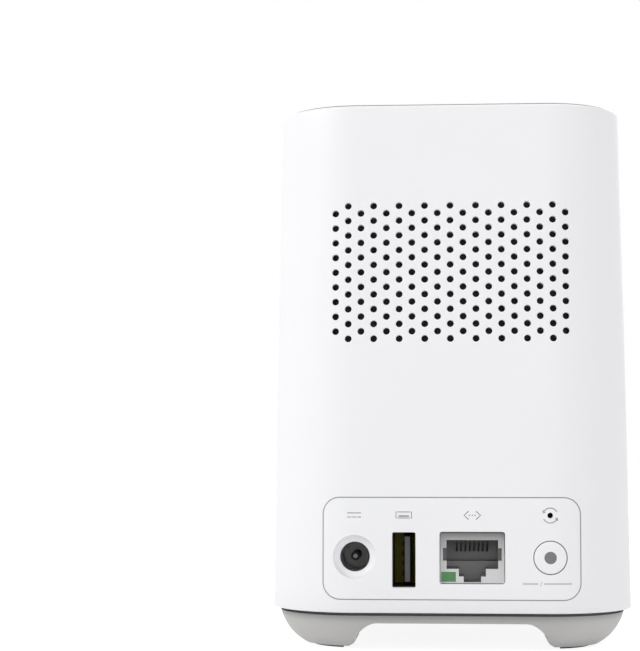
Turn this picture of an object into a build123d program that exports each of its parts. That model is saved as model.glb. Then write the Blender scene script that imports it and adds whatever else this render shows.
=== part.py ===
from build123d import *
import math
import os

# A camera base station: a tapered white sleeve on a grey base, with its sockets in the rear wall.
# Millimetres, +Z up, rear wall towards -Y, origin in the middle of the footprint on the surface it stands on.

# Sleeve: the white outer moulding
sleeve_across = 86.0
sleeve_lower_z = 9.0
sleeve_height = 118.6
sleeve_corner_r = 20.8
sleeve_draft_deg = 0.92
sleeve_wall = 2.0
sleeve_rim_wall = 1.2
sleeve_top_chamfer = 0.8
sleeve_flat_length = 2.72
bore_corner_flats = 6

# Top cap: a plate let into the sleeve's rim
cap_seat_depth = 1.6
cap_proud = 0.4
cap_gap = 0.12
cap_edge_chamfer = 0.3
cap_rib_length = 34.0
cap_rib_thick = 1.6
cap_rib_height = 5.0
cap_rib_gap = 0.2

# Sound holes in the rear wall: columns of holes, every second column half a pitch lower and one hole shorter
vent_dia = 1.5
vent_sides = 6
vent_columns = 19
vent_rows = 10
vent_column_pitch = 2.98
vent_row_pitch = 3.47
vent_middle_drop = 39.5

# Power inlet
jack_x = -22.3
jack_z = 21.85
jack_dish_dia = 10.0
jack_dish_floor_dia = 6.9
jack_dish_rim_depth = 0.65
jack_dish_depth = 1.75
jack_front_gap = 0.1
jack_bore_dia = 6.4
jack_bore_depth = 9.8
jack_body_wide = 9.0
jack_body_tall = 11.0
jack_pin_dia = 2.0
jack_pin_setback = 1.0
jack_pin_clear = 0.05
jack_spring_wide = 2.0
jack_spring_thick = 0.4
jack_barrel_dia = 5.5
jack_slot_clear = 0.1

# Data port, stood on its side
port_x = -10.9
port_z = 21.2
port_cut_wide = 5.4
port_cut_tall = 12.7
port_inside_wide = 5.12
port_inside_tall = 12.5
port_sheet = 0.3
port_front_gap = 0.1
port_tongue_thick = 1.84
port_tongue_tall = 11.1
port_tongue_gap = 0.9
port_tongue_setback = 1.0
port_tongue_chamfer = 0.35
port_block_depth = 4.0
port_contact_wide = 1.0
port_contact_thick = 0.25
port_contact_length = 7.4
port_contact_setback = 1.3
port_contact_offsets = (-3.5, -1.0, 1.0, 3.5)

# Network socket
net_x = 4.885
net_z = 21.7
net_cut_wide = 15.06
net_cut_tall = 12.0
net_cut_corner_r = 0.6
net_body_gap = 0.15
net_face_setback = 1.05
net_window_wide = 11.9
net_window_low_z = 19.14
net_window_high_z = 25.77
net_window_depth = 12.75
net_notch_wide = 13.5
net_notch_low_z = 21.05
net_notch_high_z = 23.93
net_notch_depth = 2.5
net_latch_wide = 6.23
net_latch_low_z = 17.4
net_latch_depth = 9.0
net_keel_wide = 4.0
net_keel_low_z = 16.07
net_ledge_high_z = 20.4
net_ledge_depth = 8.7
net_contact_count = 8
net_contact_pitch = 1.016
net_contact_wide = 0.45
net_contact_thick = 0.3
net_contact_setback = 1.2
net_contact_run = 8.0
net_contact_drop = 2.8
net_contact_roof_gap = 0.05
net_light_left_x = -2.28
net_light_right_x = 1.05
net_light_low_z = 16.2
net_light_high_z = 18.4
net_light_depth = 6.0
net_light_gap = 0.03

# Push button and its switch
button_x = 22.8
button_z = 21.8
button_dia = 7.9
button_hole_dia = 8.3
button_proud = 0.1
button_head_length = 4.85
button_flange_dia = 10.0
button_flange_thick = 1.0
button_stem_dia = 3.2
button_travel = 0.5
button_guide_wall = 1.15
hidden_sides = 16
button_rest_gap = 0.05
switch_side = 6.0
switch_tall = 3.5
switch_plunger_dia = 3.4
switch_plunger_length = 4.5
switch_plunger_clear = 0.05
switch_plunger_inside = 1.5

# Reset pinhole and its switch
reset_x = 22.8
reset_z = 31.5
pinhole_dia = 1.3
pin_guide_bore_dia = 1.9
pin_guide_wall = 1.05
pin_guide_gap = 1.4
reset_switch_side = 4.5
reset_plunger_dia = 2.5
reset_plunger_out = 1.1
reset_travel = 0.25

# Main board, upright behind the sockets
board_rear_room = 18.0
board_thick = 1.6
board_side_room = 15.0
board_low_z = 13.0
board_high_z = 66.0
board_hole_edge = 3.0
board_hole_low_z = 37.5
board_hole_high_z = 63.0
board_screw_length = 7.0
board_screw_head_thick = 1.4

# Base tub with four feet
tub_inset = 1.7
tub_top_gap = 0.3
tub_foot_inset = 7.0
tub_bow = 1.15
tub_bow_steps = 3
tub_floor_low_z = 6.4
tub_floor_thick = 1.6
tub_lip_gap = 0.25
tub_lip_wall = 1.5
tub_lip_top_z = 11.5
arch_top_run = 3.6
arch_knee_run = 2.3
arch_knee_z = 3.1
foot_length = 9.8
arch_fillet = 1.5

# Rubber pads in the feet
pad_proud = 0.3
pad_recess = 0.9
pad_margin = 1.0
pad_gap = 0.1

# Screws: small ones are drawn with flats, as their threads and slots are left to the finish
screw_sides = 8
screw_hole_clear = 0.35
screw_thread_clear = 0.12
base_screw_in = 3.7
base_screw_dia = 2.5
base_screw_head_dia = 5.0
base_screw_head_thick = 2.0
base_screw_length = 8.0
base_screw_seat_z = 4.6
base_bore_dia = 5.6
small_screw_dia = 2.0
small_screw_head_dia = 4.0

# Screw bosses inside the sleeve
boss_side = 5.8
boss_top_z = 15.5
boss_rib_thick = 1.6
boss_rib_low_z = 12.0
boss_rib_overlap = 0.3

# Inner frame: deck, side plates, arms and siren plate in one moulding
deck_thick = 2.0
deck_margin = 2.7
deck_rim_wide = 11.5
deck_corner_cut = 3.0
shoe_long = 6.0
shoe_in = 6.0
shoe_top_z = 14.2
shoe_wall = 1.7
shoe_clear = 0.05
plate_thick = 2.0
plate_board_gap = 0.3
plate_rear_gap = 0.4
plate_deep = 15.4
plate_top_rise = 23.0
bracket_drop = 22.0
board_boss_side = 6.0
board_boss_depth = 8.0
arm_half_tall = 4.0
arm_front_room = 7.0
arm_lug_wide = 8.0
arm_lug_deep = 4.0
arm_bar_tall = 2.5

# Siren: a small loudspeaker behind the sound holes
siren_rise = 0.9
siren_plate_room = 9.5
siren_plate_thick = 2.0
siren_hole_dia = 38.0
siren_sides = 16
flange_side = 40.0
flange_thick = 1.5
flange_hole_dia = 35.0
flange_screw_offset = 16.0
siren_screw_length = 5.0
siren_screw_head_thick = 1.2
basket_depth = 7.0
basket_leg_wide = 2.6
basket_leg_gap = 0.2
basket_back_dia = 25.0
basket_back_thick = 1.2
basket_leg_inner_dia = 22.0
magnet_dia = 24.0
magnet_thick = 6.5
magnet_gap_inner_dia = 8.4
magnet_gap_outer_dia = 11.4
coil_end_clear = 1.4
coil_inner_dia = 9.2
coil_outer_dia = 10.4
coil_dip = 2.4
cone_rim_dia = 32.0
cone_neck_dia = 10.4
cone_wall = 1.2
dust_cap_thick = 0.8
cone_depth = 4.6
cone_rim_setback = 0.5
cone_excursion = 0.4
surround_gap = 0.35
surround_wide = 1.85
surround_thick = 0.8
gasket_wall = 1.8
gasket_deep = 3.8
mesh_side_margin = 2.68
mesh_end_margin = 2.885
mesh_thick = 0.4
mesh_glue = 0.05

# Parts on the main board
chip_side = 14.0
chip_thick = 1.2
chip_z = 50.0
memory_wide = 8.0
memory_tall = 12.0
memory_thick = 1.0
memory_x = 14.5
thermal_pad_thick = 0.8
spreader_boss_gap = 2.0
spreader_tall = 34.0
spreader_thick = 1.5
fin_count = 9
fin_thick = 1.2
fin_deep = 8.0
shield_wide = 19.0
shield_tall = 15.0
shield_deep = 2.6
shield_wall = 0.25
shield_x = 11.5
shield_z = 52.0
capacitor_dia = 6.3
capacitor_tall = 7.7
capacitor_row_z = 34.0
capacitor_xs = (-15.0, -7.5)
coil_side = 6.0
coil_tall = 3.0
coil_corner_cut = 1.2
coil_xs = (1.5, 9.5)
antenna_thick = 0.4
antenna_clear = 0.05
antenna_foot_in = 3.0
antenna_foot_tall = 3.0
antenna_low_z = 53.0
antenna_high_z = 96.0
antenna_deep = 9.0
antenna_slot_wide = 1.2
antenna_slot_end_margin = 6.0

# Front indicator
light_z = 102.0
lens_wide = 14.0
lens_tall = 2.0
lens_gap = 0.08
lens_flange_margin = 1.5
lens_flange_thick = 1.0
lens_back_gap = 0.1
lens_sink = 0.03
light_board_tall = 7.0
light_board_thick = 1.2
light_board_end_gap = 0.3
led_count = 3
led_pitch = 4.0
led_wide = 3.2
led_tall = 1.6
led_thick = 0.8
light_screw_length = 4.5
light_screw_head_thick = 0.8
flex_wide = 5.0
flex_thick = 0.25
flex_low_z = 42.0
flex_plug_wide = 4.0
flex_plug_tall = 7.0
flex_plug_deep = 2.4

overrun = 1.0

# Sizes worked out from the ones above
half = sleeve_across / 2
draft = math.tan(math.radians(sleeve_draft_deg))
sleeve_top_z = sleeve_lower_z + sleeve_height
vent_middle_z = sleeve_top_z - vent_middle_drop
siren_z = vent_middle_z + siren_rise
plate_top_z = siren_z + plate_top_rise
bracket_low_z = siren_z - bracket_drop
arm_low_z = light_z - arm_half_tall
arm_high_z = light_z + arm_half_tall
surround_inner_dia = cone_rim_dia + 2 * surround_gap
surround_outer_dia = surround_inner_dia + 2 * surround_wide
sleeve_corner_flats = round(sleeve_corner_r * math.pi / 2 / sleeve_flat_length)
board_rear_y = board_rear_room - half
board_front_y = board_rear_y + board_thick
board_wide = sleeve_across - 2 * board_side_room
board_hole_x = board_wide / 2 - board_hole_edge
spreader_wide = 2 * (board_hole_x - board_boss_side / 2 - spreader_boss_gap)
tub_half = half - tub_inset
tub_corner_r = sleeve_corner_r - tub_inset
corner_place = tub_half - tub_corner_r
tub_floor_z = tub_floor_low_z + tub_floor_thick
tub_top_z = sleeve_lower_z - tub_top_gap
foot_half = tub_half - tub_foot_inset
arch_foot_half = foot_half - foot_length
arch_knee_half = arch_foot_half - arch_knee_run
arch_top_half = arch_knee_half - arch_top_run
base_screw_place = arch_foot_half + base_screw_in
deck_top_z = tub_floor_z + deck_thick
plate_inner_x = board_wide / 2 + plate_board_gap
plate_outer_x = plate_inner_x + plate_thick
plate_rear_y = board_front_y + plate_rear_gap
plate_front_y = board_front_y + plate_deep
deck_half = plate_outer_x + deck_margin
deck_opening_half = deck_half - deck_rim_wide
shoe_far_x = board_wide / 2 - shoe_in
shoe_near_x = shoe_far_x - shoe_long
arm_front_y = half - arm_front_room
siren_plate_rear_y = siren_plate_room - half
gasket_end_y = siren_plate_rear_y - flange_thick - gasket_deep
mesh_wide = (vent_columns - 1) * vent_column_pitch + 2 * mesh_side_margin
mesh_tall = (vent_rows - 1) * vent_row_pitch + 2 * mesh_end_margin
corners = [(sx, sy) for sx in (-1, 1) for sy in (-1, 1)]


def outside_half(z):
    """Half width of the sleeve's drafted outside at a height."""
    return half - (z - sleeve_lower_z) * draft


def wall_outside_y(z):
    """Y of the rear wall's outer face at a height."""
    return -outside_half(z)


def wall_inside_y(z):
    """Y of the rear wall's inner face at a height."""
    return sleeve_wall - outside_half(z)


def bore_y(x, z):
    """Y of the rear wall's inner face at a place that may lie on the curved corner."""
    radius = sleeve_corner_r - sleeve_wall - (z - sleeve_lower_z) * draft
    past = max(abs(x) - corner_place, 0)
    flat_sag = radius * (1 - math.cos(math.pi / (4 * bore_corner_flats)))
    return flat_sag - corner_place - math.sqrt(radius**2 - past**2)


def block(x, y, z):
    """A block between two X, two Y and two Z values, each given as a pair."""
    size = [high - low for low, high in (x, y, z)]
    return Pos(x[0], y[0], z[0]) * Box(*size, align=(Align.MIN, Align.MIN, Align.MIN))


def through_y(outline, y_rear, y_front):
    """An outline drawn in X and Z, carried from y_rear to y_front."""
    return extrude(Plane.XZ.offset(-y_front) * outline, y_front - y_rear)


def upright(outline, z_low, z_high):
    """An outline drawn in X and Y, carried from z_low to z_high."""
    return extrude(Plane.XY.offset(z_low) * outline, z_high - z_low)


def round_y(x, z, dia, y_rear, y_front):
    """A round bar along Y."""
    return through_y(Pos(x, z) * Circle(dia / 2), y_rear, y_front)


def flat_sided_y(x, z, dia, y_rear, y_front, sides):
    """A bar along Y with flats, no wider across its corners than dia."""
    return through_y(Pos(x, z) * RegularPolygon(dia / 2, sides), y_rear, y_front)


def flat_sided_z(x, y, dia, z_low, z_high, sides):
    """An upright bar with flats, no wider across its corners than dia."""
    return upright(Pos(x, y) * RegularPolygon(dia / 2, sides), z_low, z_high)


def hole_dia(screw_dia, clear):
    """Width across the corners of a flat-sided hole that leaves a screw its clearance all round."""
    return (screw_dia + clear) / math.cos(math.pi / screw_sides)


def same_area_r(dia, sides):
    """Corner radius of a flat-sided hole that is as open as a round one."""
    return dia / 2 * math.sqrt(2 * math.pi / (sides * math.sin(2 * math.pi / sides)))


def save(part, name):
    export_step(part, os.path.join("parts", name + ".step"))


def drafted(outline):
    """An outline at the sleeve's lower edge, carried up to its top with the sleeve's draft."""
    return extrude(Plane.XY.offset(sleeve_lower_z) * outline, sleeve_height, taper=sleeve_draft_deg)


def flat_cornered(inset, flats):
    """The sleeve's footprint drawn in by an inset, each corner's arc cut as a number of flats."""
    radius = sleeve_corner_r - inset
    points = []
    for quarter in range(4):
        sx = 1 if quarter in (0, 3) else -1
        sy = 1 if quarter in (0, 1) else -1
        for step in range(flats + 1):
            angle = (quarter + step / flats) * math.pi / 2
            x = sx * corner_place + radius * math.cos(angle)
            points.append((x, sy * corner_place + radius * math.sin(angle)))
    return make_face(Polyline(*points, close=True))


# The sleeve's outside, grown by an amount that is 0 for the sleeve itself.
def sleeve_outside(grow):
    return drafted(flat_cornered(-grow, sleeve_corner_flats))


# The sleeve is a drafted rounded square, hollow and open at both ends.
def sleeve_body():
    outside = sleeve_outside(0)
    top_edges = outside.faces().sort_by(Axis.Z)[-1].edges()
    outside = chamfer(top_edges, sleeve_top_chamfer)
    bore = drafted(flat_cornered(sleeve_wall, bore_corner_flats))
    return outside - bore - upright(cap_outline(0), sleeve_top_z - cap_seat_depth, sleeve_top_z + overrun)


# The cap's outline follows the sleeve's rim, drawn in by its gap.
def cap_outline(gap):
    return flat_cornered(half - outside_half(sleeve_top_z) + sleeve_rim_wall + gap, sleeve_corner_flats)


# Sound holes, in columns that alternate between a full and a shorter column.
def vent_holes():
    places = []
    for column in range(vent_columns):
        rows = vent_rows - 1 if column % 2 == 0 else vent_rows
        x = (column - (vent_columns - 1) / 2) * vent_column_pitch
        for row in range(rows):
            z = vent_middle_z + (row - (rows - 1) / 2) * vent_row_pitch
            places.append((x, z))
    hole = RegularPolygon(same_area_r(vent_dia, vent_sides), vent_sides)
    grid = Sketch() + [Pos(x, z) * hole for x, z in places]
    low_z = vent_middle_z - vent_rows * vent_row_pitch / 2
    high_z = vent_middle_z + vent_rows * vent_row_pitch / 2
    return through_y(grid, wall_outside_y(low_z) - overrun, wall_inside_y(high_z) + overrun)


# Openings for the power inlet, the two sockets, the button and the pinhole.
def socket_cuts():
    rear_y = -half - overrun
    front_y = wall_inside_y(reset_z) + overrun
    rim_y = wall_outside_y(jack_z) + jack_dish_rim_depth
    floor_y = wall_outside_y(jack_z) + jack_dish_depth
    dish = Polyline(
        (0, rear_y),
        (jack_dish_dia / 2, rear_y),
        (jack_dish_dia / 2, rim_y),
        (jack_dish_floor_dia / 2, floor_y),
        (jack_dish_floor_dia / 2, front_y),
        (0, front_y),
        close=True,
    )
    cuts = [Pos(jack_x, 0, jack_z) * revolve(make_face(dish), Axis.Y)]
    cuts.append(through_y(Pos(port_x, port_z) * Rectangle(port_cut_wide, port_cut_tall), rear_y, front_y))
    net_hole = RectangleRounded(net_cut_wide, net_cut_tall, net_cut_corner_r)
    cuts.append(through_y(Pos(net_x, net_z) * net_hole, rear_y, front_y))
    cuts.append(round_y(button_x, button_z, button_hole_dia, rear_y, button_flange_rear_y()))
    pinhole = RegularPolygon(same_area_r(pinhole_dia, screw_sides), screw_sides)
    cuts.append(through_y(Pos(reset_x, reset_z) * pinhole, rear_y, front_y))
    return cuts


# Slot in the front wall for the indicator lens.
def lens_slot():
    outline = Pos(0, light_z) * SlotOverall(lens_wide, lens_tall)
    return through_y(outline, outside_half(light_z) - sleeve_wall - overrun, half)


def button_front_y():
    return wall_outside_y(button_z) - button_proud


def button_flange_rear_y():
    return button_front_y() + button_head_length


# Tubes moulded behind the button hole and the pinhole, which guide the button and a pin.
def guide_tubes():
    wall_y = wall_inside_y(button_z)
    tube_dia = button_hole_dia + 2 * button_guide_wall
    tube_end_y = button_flange_rear_y() - button_rest_gap
    button_tube = flat_sided_y(button_x, button_z, tube_dia, wall_y, tube_end_y, hidden_sides)
    pin_wall_y = wall_inside_y(reset_z)
    pin_end_y = reset_tip_y() - pin_guide_gap
    pin_tube_dia = pin_guide_bore_dia + 2 * pin_guide_wall
    pin_tube = flat_sided_y(reset_x, reset_z, pin_tube_dia, pin_wall_y, pin_end_y, screw_sides)
    pin_tube -= flat_sided_y(reset_x, reset_z, pin_guide_bore_dia, pin_wall_y, pin_end_y, screw_sides)
    return [button_tube, pin_tube]


# Screw bosses in the sleeve's corners, each tied to the wall by a rib.
def sleeve_bosses():
    bosses = []
    wall_reach = (corner_place * math.sqrt(2) + sleeve_corner_r - sleeve_wall + boss_rib_overlap)
    boss_reach = base_screw_place * math.sqrt(2)
    thread_dia = hole_dia(base_screw_dia, screw_thread_clear)
    for sx, sy in corners:
        x = sx * base_screw_place
        y = sy * base_screw_place
        boss = upright(Pos(x, y) * Rectangle(boss_side, boss_side), deck_top_z, boss_top_z)
        rib_y = (-boss_rib_thick / 2, boss_rib_thick / 2)
        rib = block((boss_reach, wall_reach), rib_y, (boss_rib_low_z, boss_top_z))
        rib = Rot(0, 0, math.degrees(math.atan2(sy, sx))) * rib
        hole = flat_sided_z(x, y, thread_dia, deck_top_z - overrun, boss_top_z + overrun, screw_sides)
        bosses.append(boss + rib - hole)
    return bosses


def outer_shell():
    shell = sleeve_body() + sleeve_bosses() + guide_tubes()
    return shell - vent_holes() - socket_cuts() - lens_slot()


# Cap plate with four ribs that locate it inside the sleeve.
def top_cap():
    plate = upright(cap_outline(cap_gap), sleeve_top_z - cap_seat_depth, sleeve_top_z + cap_proud)
    plate = chamfer(plate.faces().sort_by(Axis.Z)[-1].edges(), cap_edge_chamfer)
    low_z = sleeve_top_z - cap_seat_depth - cap_rib_height
    high_z = sleeve_top_z - cap_seat_depth
    reach = outside_half(sleeve_top_z) - sleeve_wall - cap_rib_gap
    rib = block((-cap_rib_length / 2, cap_rib_length / 2), (reach - cap_rib_thick, reach), (low_z, high_z))
    return plate + [Rot(0, 0, turn) * rib for turn in (0, 90, 180, 270)]


# Points of the tub's bowed side, from the foot up to the shoulder: half width and height.
def bowed_side():
    run = tub_half - foot_half
    rise = tub_top_z - pad_proud
    chord = math.hypot(run, rise)
    points = []
    for step in range(tub_bow_steps + 1):
        share = step / tub_bow_steps
        bow = 4 * tub_bow * share * (1 - share)
        points.append((foot_half + run * share + bow * rise / chord, pad_proud + rise * share - bow * run / chord))
    return points


# The tub's outside: drafted rounded squares stacked up, each as wide as the bowed side at its two ends.
def bowl():
    side = bowed_side()
    bands = []
    for (low_half, low_z), (high_half, high_z) in zip(side, side[1:]):
        lean = math.degrees(math.atan2(high_half - low_half, high_z - low_z))
        outline = Plane.XY.offset(low_z) * RectangleRounded(2 * low_half, 2 * low_half, low_half - corner_place)
        bands.append(extrude(outline, high_z - low_z, taper=-lean))
    return Part() + bands


# Arch that is cut through the base both ways, which leaves the four feet.
def arch():
    outline = Polyline(
        (-arch_foot_half, pad_proud - overrun),
        (-arch_foot_half, pad_proud),
        (-arch_knee_half, arch_knee_z),
        (-arch_top_half, tub_floor_low_z),
        (arch_top_half, tub_floor_low_z),
        (arch_knee_half, arch_knee_z),
        (arch_foot_half, pad_proud),
        (arch_foot_half, pad_proud - overrun),
        close=True,
    )
    face = make_face(outline)
    upper = face.vertices().sort_by(Axis.Y)[-2:]
    face = fillet(upper, arch_fillet)
    return through_y(face, -half, half)


# Outline of one foot's pad or pocket: the foot's underside drawn in by a margin.
def pad_outline(sx, sy, margin):
    reach = foot_half - margin
    rounded = RectangleRounded(2 * reach, 2 * reach, reach - corner_place)
    near = arch_foot_half + margin
    far = reach + overrun
    middle = (near + far) / 2
    return rounded & Pos(sx * middle, sy * middle) * Rectangle(far - near, far - near)


# The bowl is cut by both arches a quarter at a time, then the quarters are joined round its middle.
def footed_bowl():
    quarter = bowl() & block((0, half), (0, half), (0, tub_top_z))
    quarter = quarter - arch() - Rot(0, 0, 90) * arch()
    return Part() + [Rot(0, 0, turn) * quarter for turn in (0, 90, 180, 270)]


def base_tub():
    lip_inset = sleeve_wall + tub_lip_gap
    tub = footed_bowl() + upright(flat_cornered(lip_inset, bore_corner_flats), tub_floor_z, tub_lip_top_z)
    well = flat_cornered(lip_inset + tub_lip_wall, bore_corner_flats)
    tub -= upright(well, tub_floor_z, tub_lip_top_z + overrun)
    pass_dia = hole_dia(base_screw_dia, screw_hole_clear)
    pocket_top_z = pad_proud + pad_recess
    for sx, sy in corners:
        x = sx * base_screw_place
        y = sy * base_screw_place
        tub -= upright(pad_outline(sx, sy, pad_margin - pad_gap), pad_proud - overrun, pocket_top_z)
        tub -= flat_sided_z(x, y, base_bore_dia, pocket_top_z - overrun, base_screw_seat_z, screw_sides)
        tub -= flat_sided_z(x, y, pass_dia, base_screw_seat_z - overrun, tub_floor_z + overrun, screw_sides)
    return tub


def foot_pads():
    return Part() + [upright(pad_outline(sx, sy, pad_margin), 0, pad_proud + pad_recess) for sx, sy in corners]


def base_screw(sx, sy):
    x = sx * base_screw_place
    y = sy * base_screw_place
    head_low_z = base_screw_seat_z - base_screw_head_thick
    head = flat_sided_z(x, y, base_screw_head_dia, head_low_z, base_screw_seat_z, screw_sides)
    shank_top_z = base_screw_seat_z + base_screw_length
    return head + flat_sided_z(x, y, base_screw_dia, base_screw_seat_z, shank_top_z, screw_sides)


def base_screws():
    return Part() + [base_screw(sx, sy) for sx, sy in corners]


# Side plate of the inner frame, drawn in Y and Z: upright, siren bracket and forward arm.
def side_plate(sx):
    outline = Polyline(
        (plate_rear_y, deck_top_z),
        (plate_rear_y, bracket_low_z),
        (siren_plate_rear_y, bracket_low_z),
        (siren_plate_rear_y, plate_top_z),
        (plate_front_y, plate_top_z),
        (plate_front_y, arm_high_z),
        (arm_front_y, arm_high_z),
        (arm_front_y, arm_low_z),
        (plate_front_y, arm_low_z),
        (plate_front_y, deck_top_z),
        close=True,
    )
    plate = extrude(Plane.YZ.offset(plate_inner_x) * make_face(outline), plate_thick)
    return plate if sx > 0 else mirror(plate, Plane.YZ)


# Siren plate, with the hole that the basket passes through and four screw holes.
def siren_plate():
    front_y = siren_plate_rear_y + siren_plate_thick
    plate_x = (-plate_outer_x, plate_outer_x)
    plate = block(plate_x, (siren_plate_rear_y, front_y), (bracket_low_z, plate_top_z))
    plate -= flat_sided_y(0, siren_z, siren_hole_dia, siren_plate_rear_y, front_y, siren_sides)
    thread_dia = hole_dia(small_screw_dia, screw_thread_clear)
    for x, z in siren_screw_places():
        plate -= flat_sided_y(x, z, thread_dia, siren_plate_rear_y, front_y, screw_sides)
    return plate


def siren_screw_places():
    return [(sx * flange_screw_offset, siren_z + sz * flange_screw_offset) for sx, sz in corners]


# Shoe on the deck that grips the board's lower edge.
def board_shoe(sx):
    rear_y = board_rear_y - shoe_wall
    front_y = board_front_y + shoe_wall
    xs = sorted((sx * shoe_near_x, sx * shoe_far_x))
    shoe = block(xs, (rear_y, front_y), (deck_top_z, shoe_top_z))
    slot = block(xs, (board_rear_y - shoe_clear, board_front_y + shoe_clear), (board_low_z, shoe_top_z))
    return shoe - slot


def board_screw_places():
    heights = (board_hole_low_z, board_hole_high_z)
    return [(sx * board_hole_x, z) for sx in (-1, 1) for z in heights]


# Boss on a side plate that takes a board screw.
def board_boss(x, z):
    outer = math.copysign(plate_inner_x, x)
    inner = math.copysign(board_hole_x - board_boss_side / 2, x)
    ys = (board_front_y, board_front_y + board_boss_depth)
    boss = block(sorted((inner, outer)), ys, (z - board_boss_side / 2, z + board_boss_side / 2))
    thread_dia = hole_dia(small_screw_dia, screw_thread_clear)
    return boss - flat_sided_y(x, z, thread_dia, ys[0], ys[1], screw_sides)


def light_screw_places():
    return [(sx * (plate_outer_x - arm_lug_wide / 2), light_z) for sx in (-1, 1)]


# Lug at the end of an arm, which the light board is screwed to.
def arm_lug(x):
    xs = (x - arm_lug_wide / 2, x + arm_lug_wide / 2)
    return block(xs, (arm_front_y - arm_lug_deep, arm_front_y), (arm_low_z, arm_high_z))


def inner_frame():
    deck = chamfer(Rectangle(2 * deck_half, 2 * deck_half).vertices(), deck_corner_cut)
    frame = upright(deck - Rectangle(2 * deck_opening_half, 2 * deck_opening_half), tub_floor_z, deck_top_z)
    pass_dia = hole_dia(base_screw_dia, screw_hole_clear)
    for sx, sy in corners:
        x = sx * base_screw_place
        y = sy * base_screw_place
        frame -= flat_sided_z(x, y, pass_dia, tub_floor_z, deck_top_z, screw_sides)
    bar_ys = (arm_front_y - arm_lug_deep, arm_front_y - arm_lug_deep + plate_thick)
    bar = block((-plate_inner_x, plate_inner_x), bar_ys, (arm_low_z, arm_low_z + arm_bar_tall))
    frame = frame + side_plate(-1) + side_plate(1) + siren_plate() + bar + board_shoe(-1) + board_shoe(1)
    frame += [board_boss(x, z) for x, z in board_screw_places()]
    frame += [arm_lug(x) for x, z in light_screw_places()]
    thread_dia = hole_dia(small_screw_dia, screw_thread_clear)
    for x, z in light_screw_places():
        frame -= flat_sided_y(x, z, thread_dia, arm_front_y - arm_lug_deep, arm_front_y + overrun, screw_sides)
    return frame


def main_board():
    board = block((-board_wide / 2, board_wide / 2), (board_rear_y, board_front_y), (board_low_z, board_high_z))
    pass_dia = hole_dia(small_screw_dia, screw_hole_clear)
    for x, z in board_screw_places():
        board -= flat_sided_y(x, z, pass_dia, board_rear_y, board_front_y, screw_sides)
    return board


# A small screw along Y: its head bears on seat_y and its shank points the way that inward says.
def small_screw(x, z, seat_y, head_thick, length, inward):
    head_ys = sorted((seat_y, seat_y - inward * head_thick))
    shank_ys = sorted((seat_y, seat_y + inward * length))
    head = flat_sided_y(x, z, small_screw_head_dia, head_ys[0], head_ys[1], screw_sides)
    return head + flat_sided_y(x, z, small_screw_dia, shank_ys[0], shank_ys[1], screw_sides)


def board_screws():
    head = board_screw_head_thick
    return Part() + [small_screw(x, z, board_rear_y, head, board_screw_length, 1) for x, z in board_screw_places()]


def siren_screws():
    seat_y = siren_plate_rear_y - flange_thick
    head = siren_screw_head_thick
    return Part() + [small_screw(x, z, seat_y, head, siren_screw_length, 1) for x, z in siren_screw_places()]


def light_board_screws():
    seat_y = arm_front_y + light_board_thick
    head = light_screw_head_thick
    return Part() + [small_screw(x, z, seat_y, head, light_screw_length, -1) for x, z in light_screw_places()]


# Power inlet: a moulded block with a blind bore, its centre pin and its side spring.
def jack_front_y():
    return bore_y(jack_x - jack_body_wide / 2, jack_z + jack_body_tall / 2) + jack_front_gap


def power_jack_body():
    front_y = jack_front_y()
    xs = (jack_x - jack_body_wide / 2, jack_x + jack_body_wide / 2)
    zs = (jack_z - jack_body_tall / 2, jack_z + jack_body_tall / 2)
    body = block(xs, (front_y, board_rear_y), zs)
    body -= round_y(jack_x, jack_z, jack_bore_dia, front_y - overrun, front_y + jack_bore_depth)
    pin_hole_dia = jack_pin_dia + 2 * jack_pin_clear
    body -= round_y(jack_x, jack_z, pin_hole_dia, front_y, board_rear_y)
    reach = jack_bore_dia / 2 + 2 * jack_slot_clear + jack_spring_thick
    slot_half = jack_spring_wide / 2 + jack_slot_clear
    slot_xs = (jack_x, jack_x + reach)
    slot_ys = (front_y + jack_pin_setback, front_y + jack_bore_depth)
    return body - block(slot_xs, slot_ys, (jack_z - slot_half, jack_z + slot_half))


def power_jack_pin():
    return round_y(jack_x, jack_z, jack_pin_dia, jack_front_y() + jack_pin_setback, board_rear_y)


# Leaf along the bore's side, bent inwards in the middle to touch the plug's barrel.
def power_jack_spring():
    rear_y = jack_front_y() + jack_pin_setback + jack_slot_clear
    front_y = jack_front_y() + jack_bore_depth
    middle_y = (rear_y + front_y) / 2
    leaf_x = jack_x + jack_bore_dia / 2 + jack_slot_clear
    touch_x = jack_x + jack_barrel_dia / 2
    inner = [(leaf_x, rear_y), (touch_x, middle_y), (leaf_x, front_y)]
    outer = [(x + jack_spring_thick, y) for x, y in reversed(inner)]
    leaf = make_face(Polyline(*inner, *outer, close=True))
    return upright(leaf, jack_z - jack_spring_wide / 2, jack_z + jack_spring_wide / 2)


# Data port: a folded sheet shell round an insulating block with a tongue and four contacts.
def port_front_y():
    return wall_inside_y(port_z + port_cut_tall / 2) + port_front_gap


def data_port_shell():
    outer = Rectangle(port_inside_wide + 2 * port_sheet, port_inside_tall + 2 * port_sheet)
    ring = outer - Rectangle(port_inside_wide, port_inside_tall)
    return through_y(Pos(port_x, port_z) * ring, port_front_y(), board_rear_y)


def port_tongue_right_x():
    return port_x + port_inside_wide / 2 - port_tongue_gap


def data_port_tongue():
    front_y = port_front_y() + port_tongue_setback
    block_y = board_rear_y - port_block_depth
    right_x = port_tongue_right_x()
    half_tall = port_tongue_tall / 2
    left_x = right_x - port_tongue_thick
    tongue = block((left_x, right_x), (front_y, block_y), (port_z - half_tall, port_z + half_tall))
    rim = tongue.faces().sort_by(Axis.Y)[0].edges()
    tongue = chamfer(rim, port_tongue_chamfer)
    base = Pos(port_x, port_z) * Rectangle(port_inside_wide, port_inside_tall)
    return tongue + through_y(base, block_y, board_rear_y)


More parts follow.
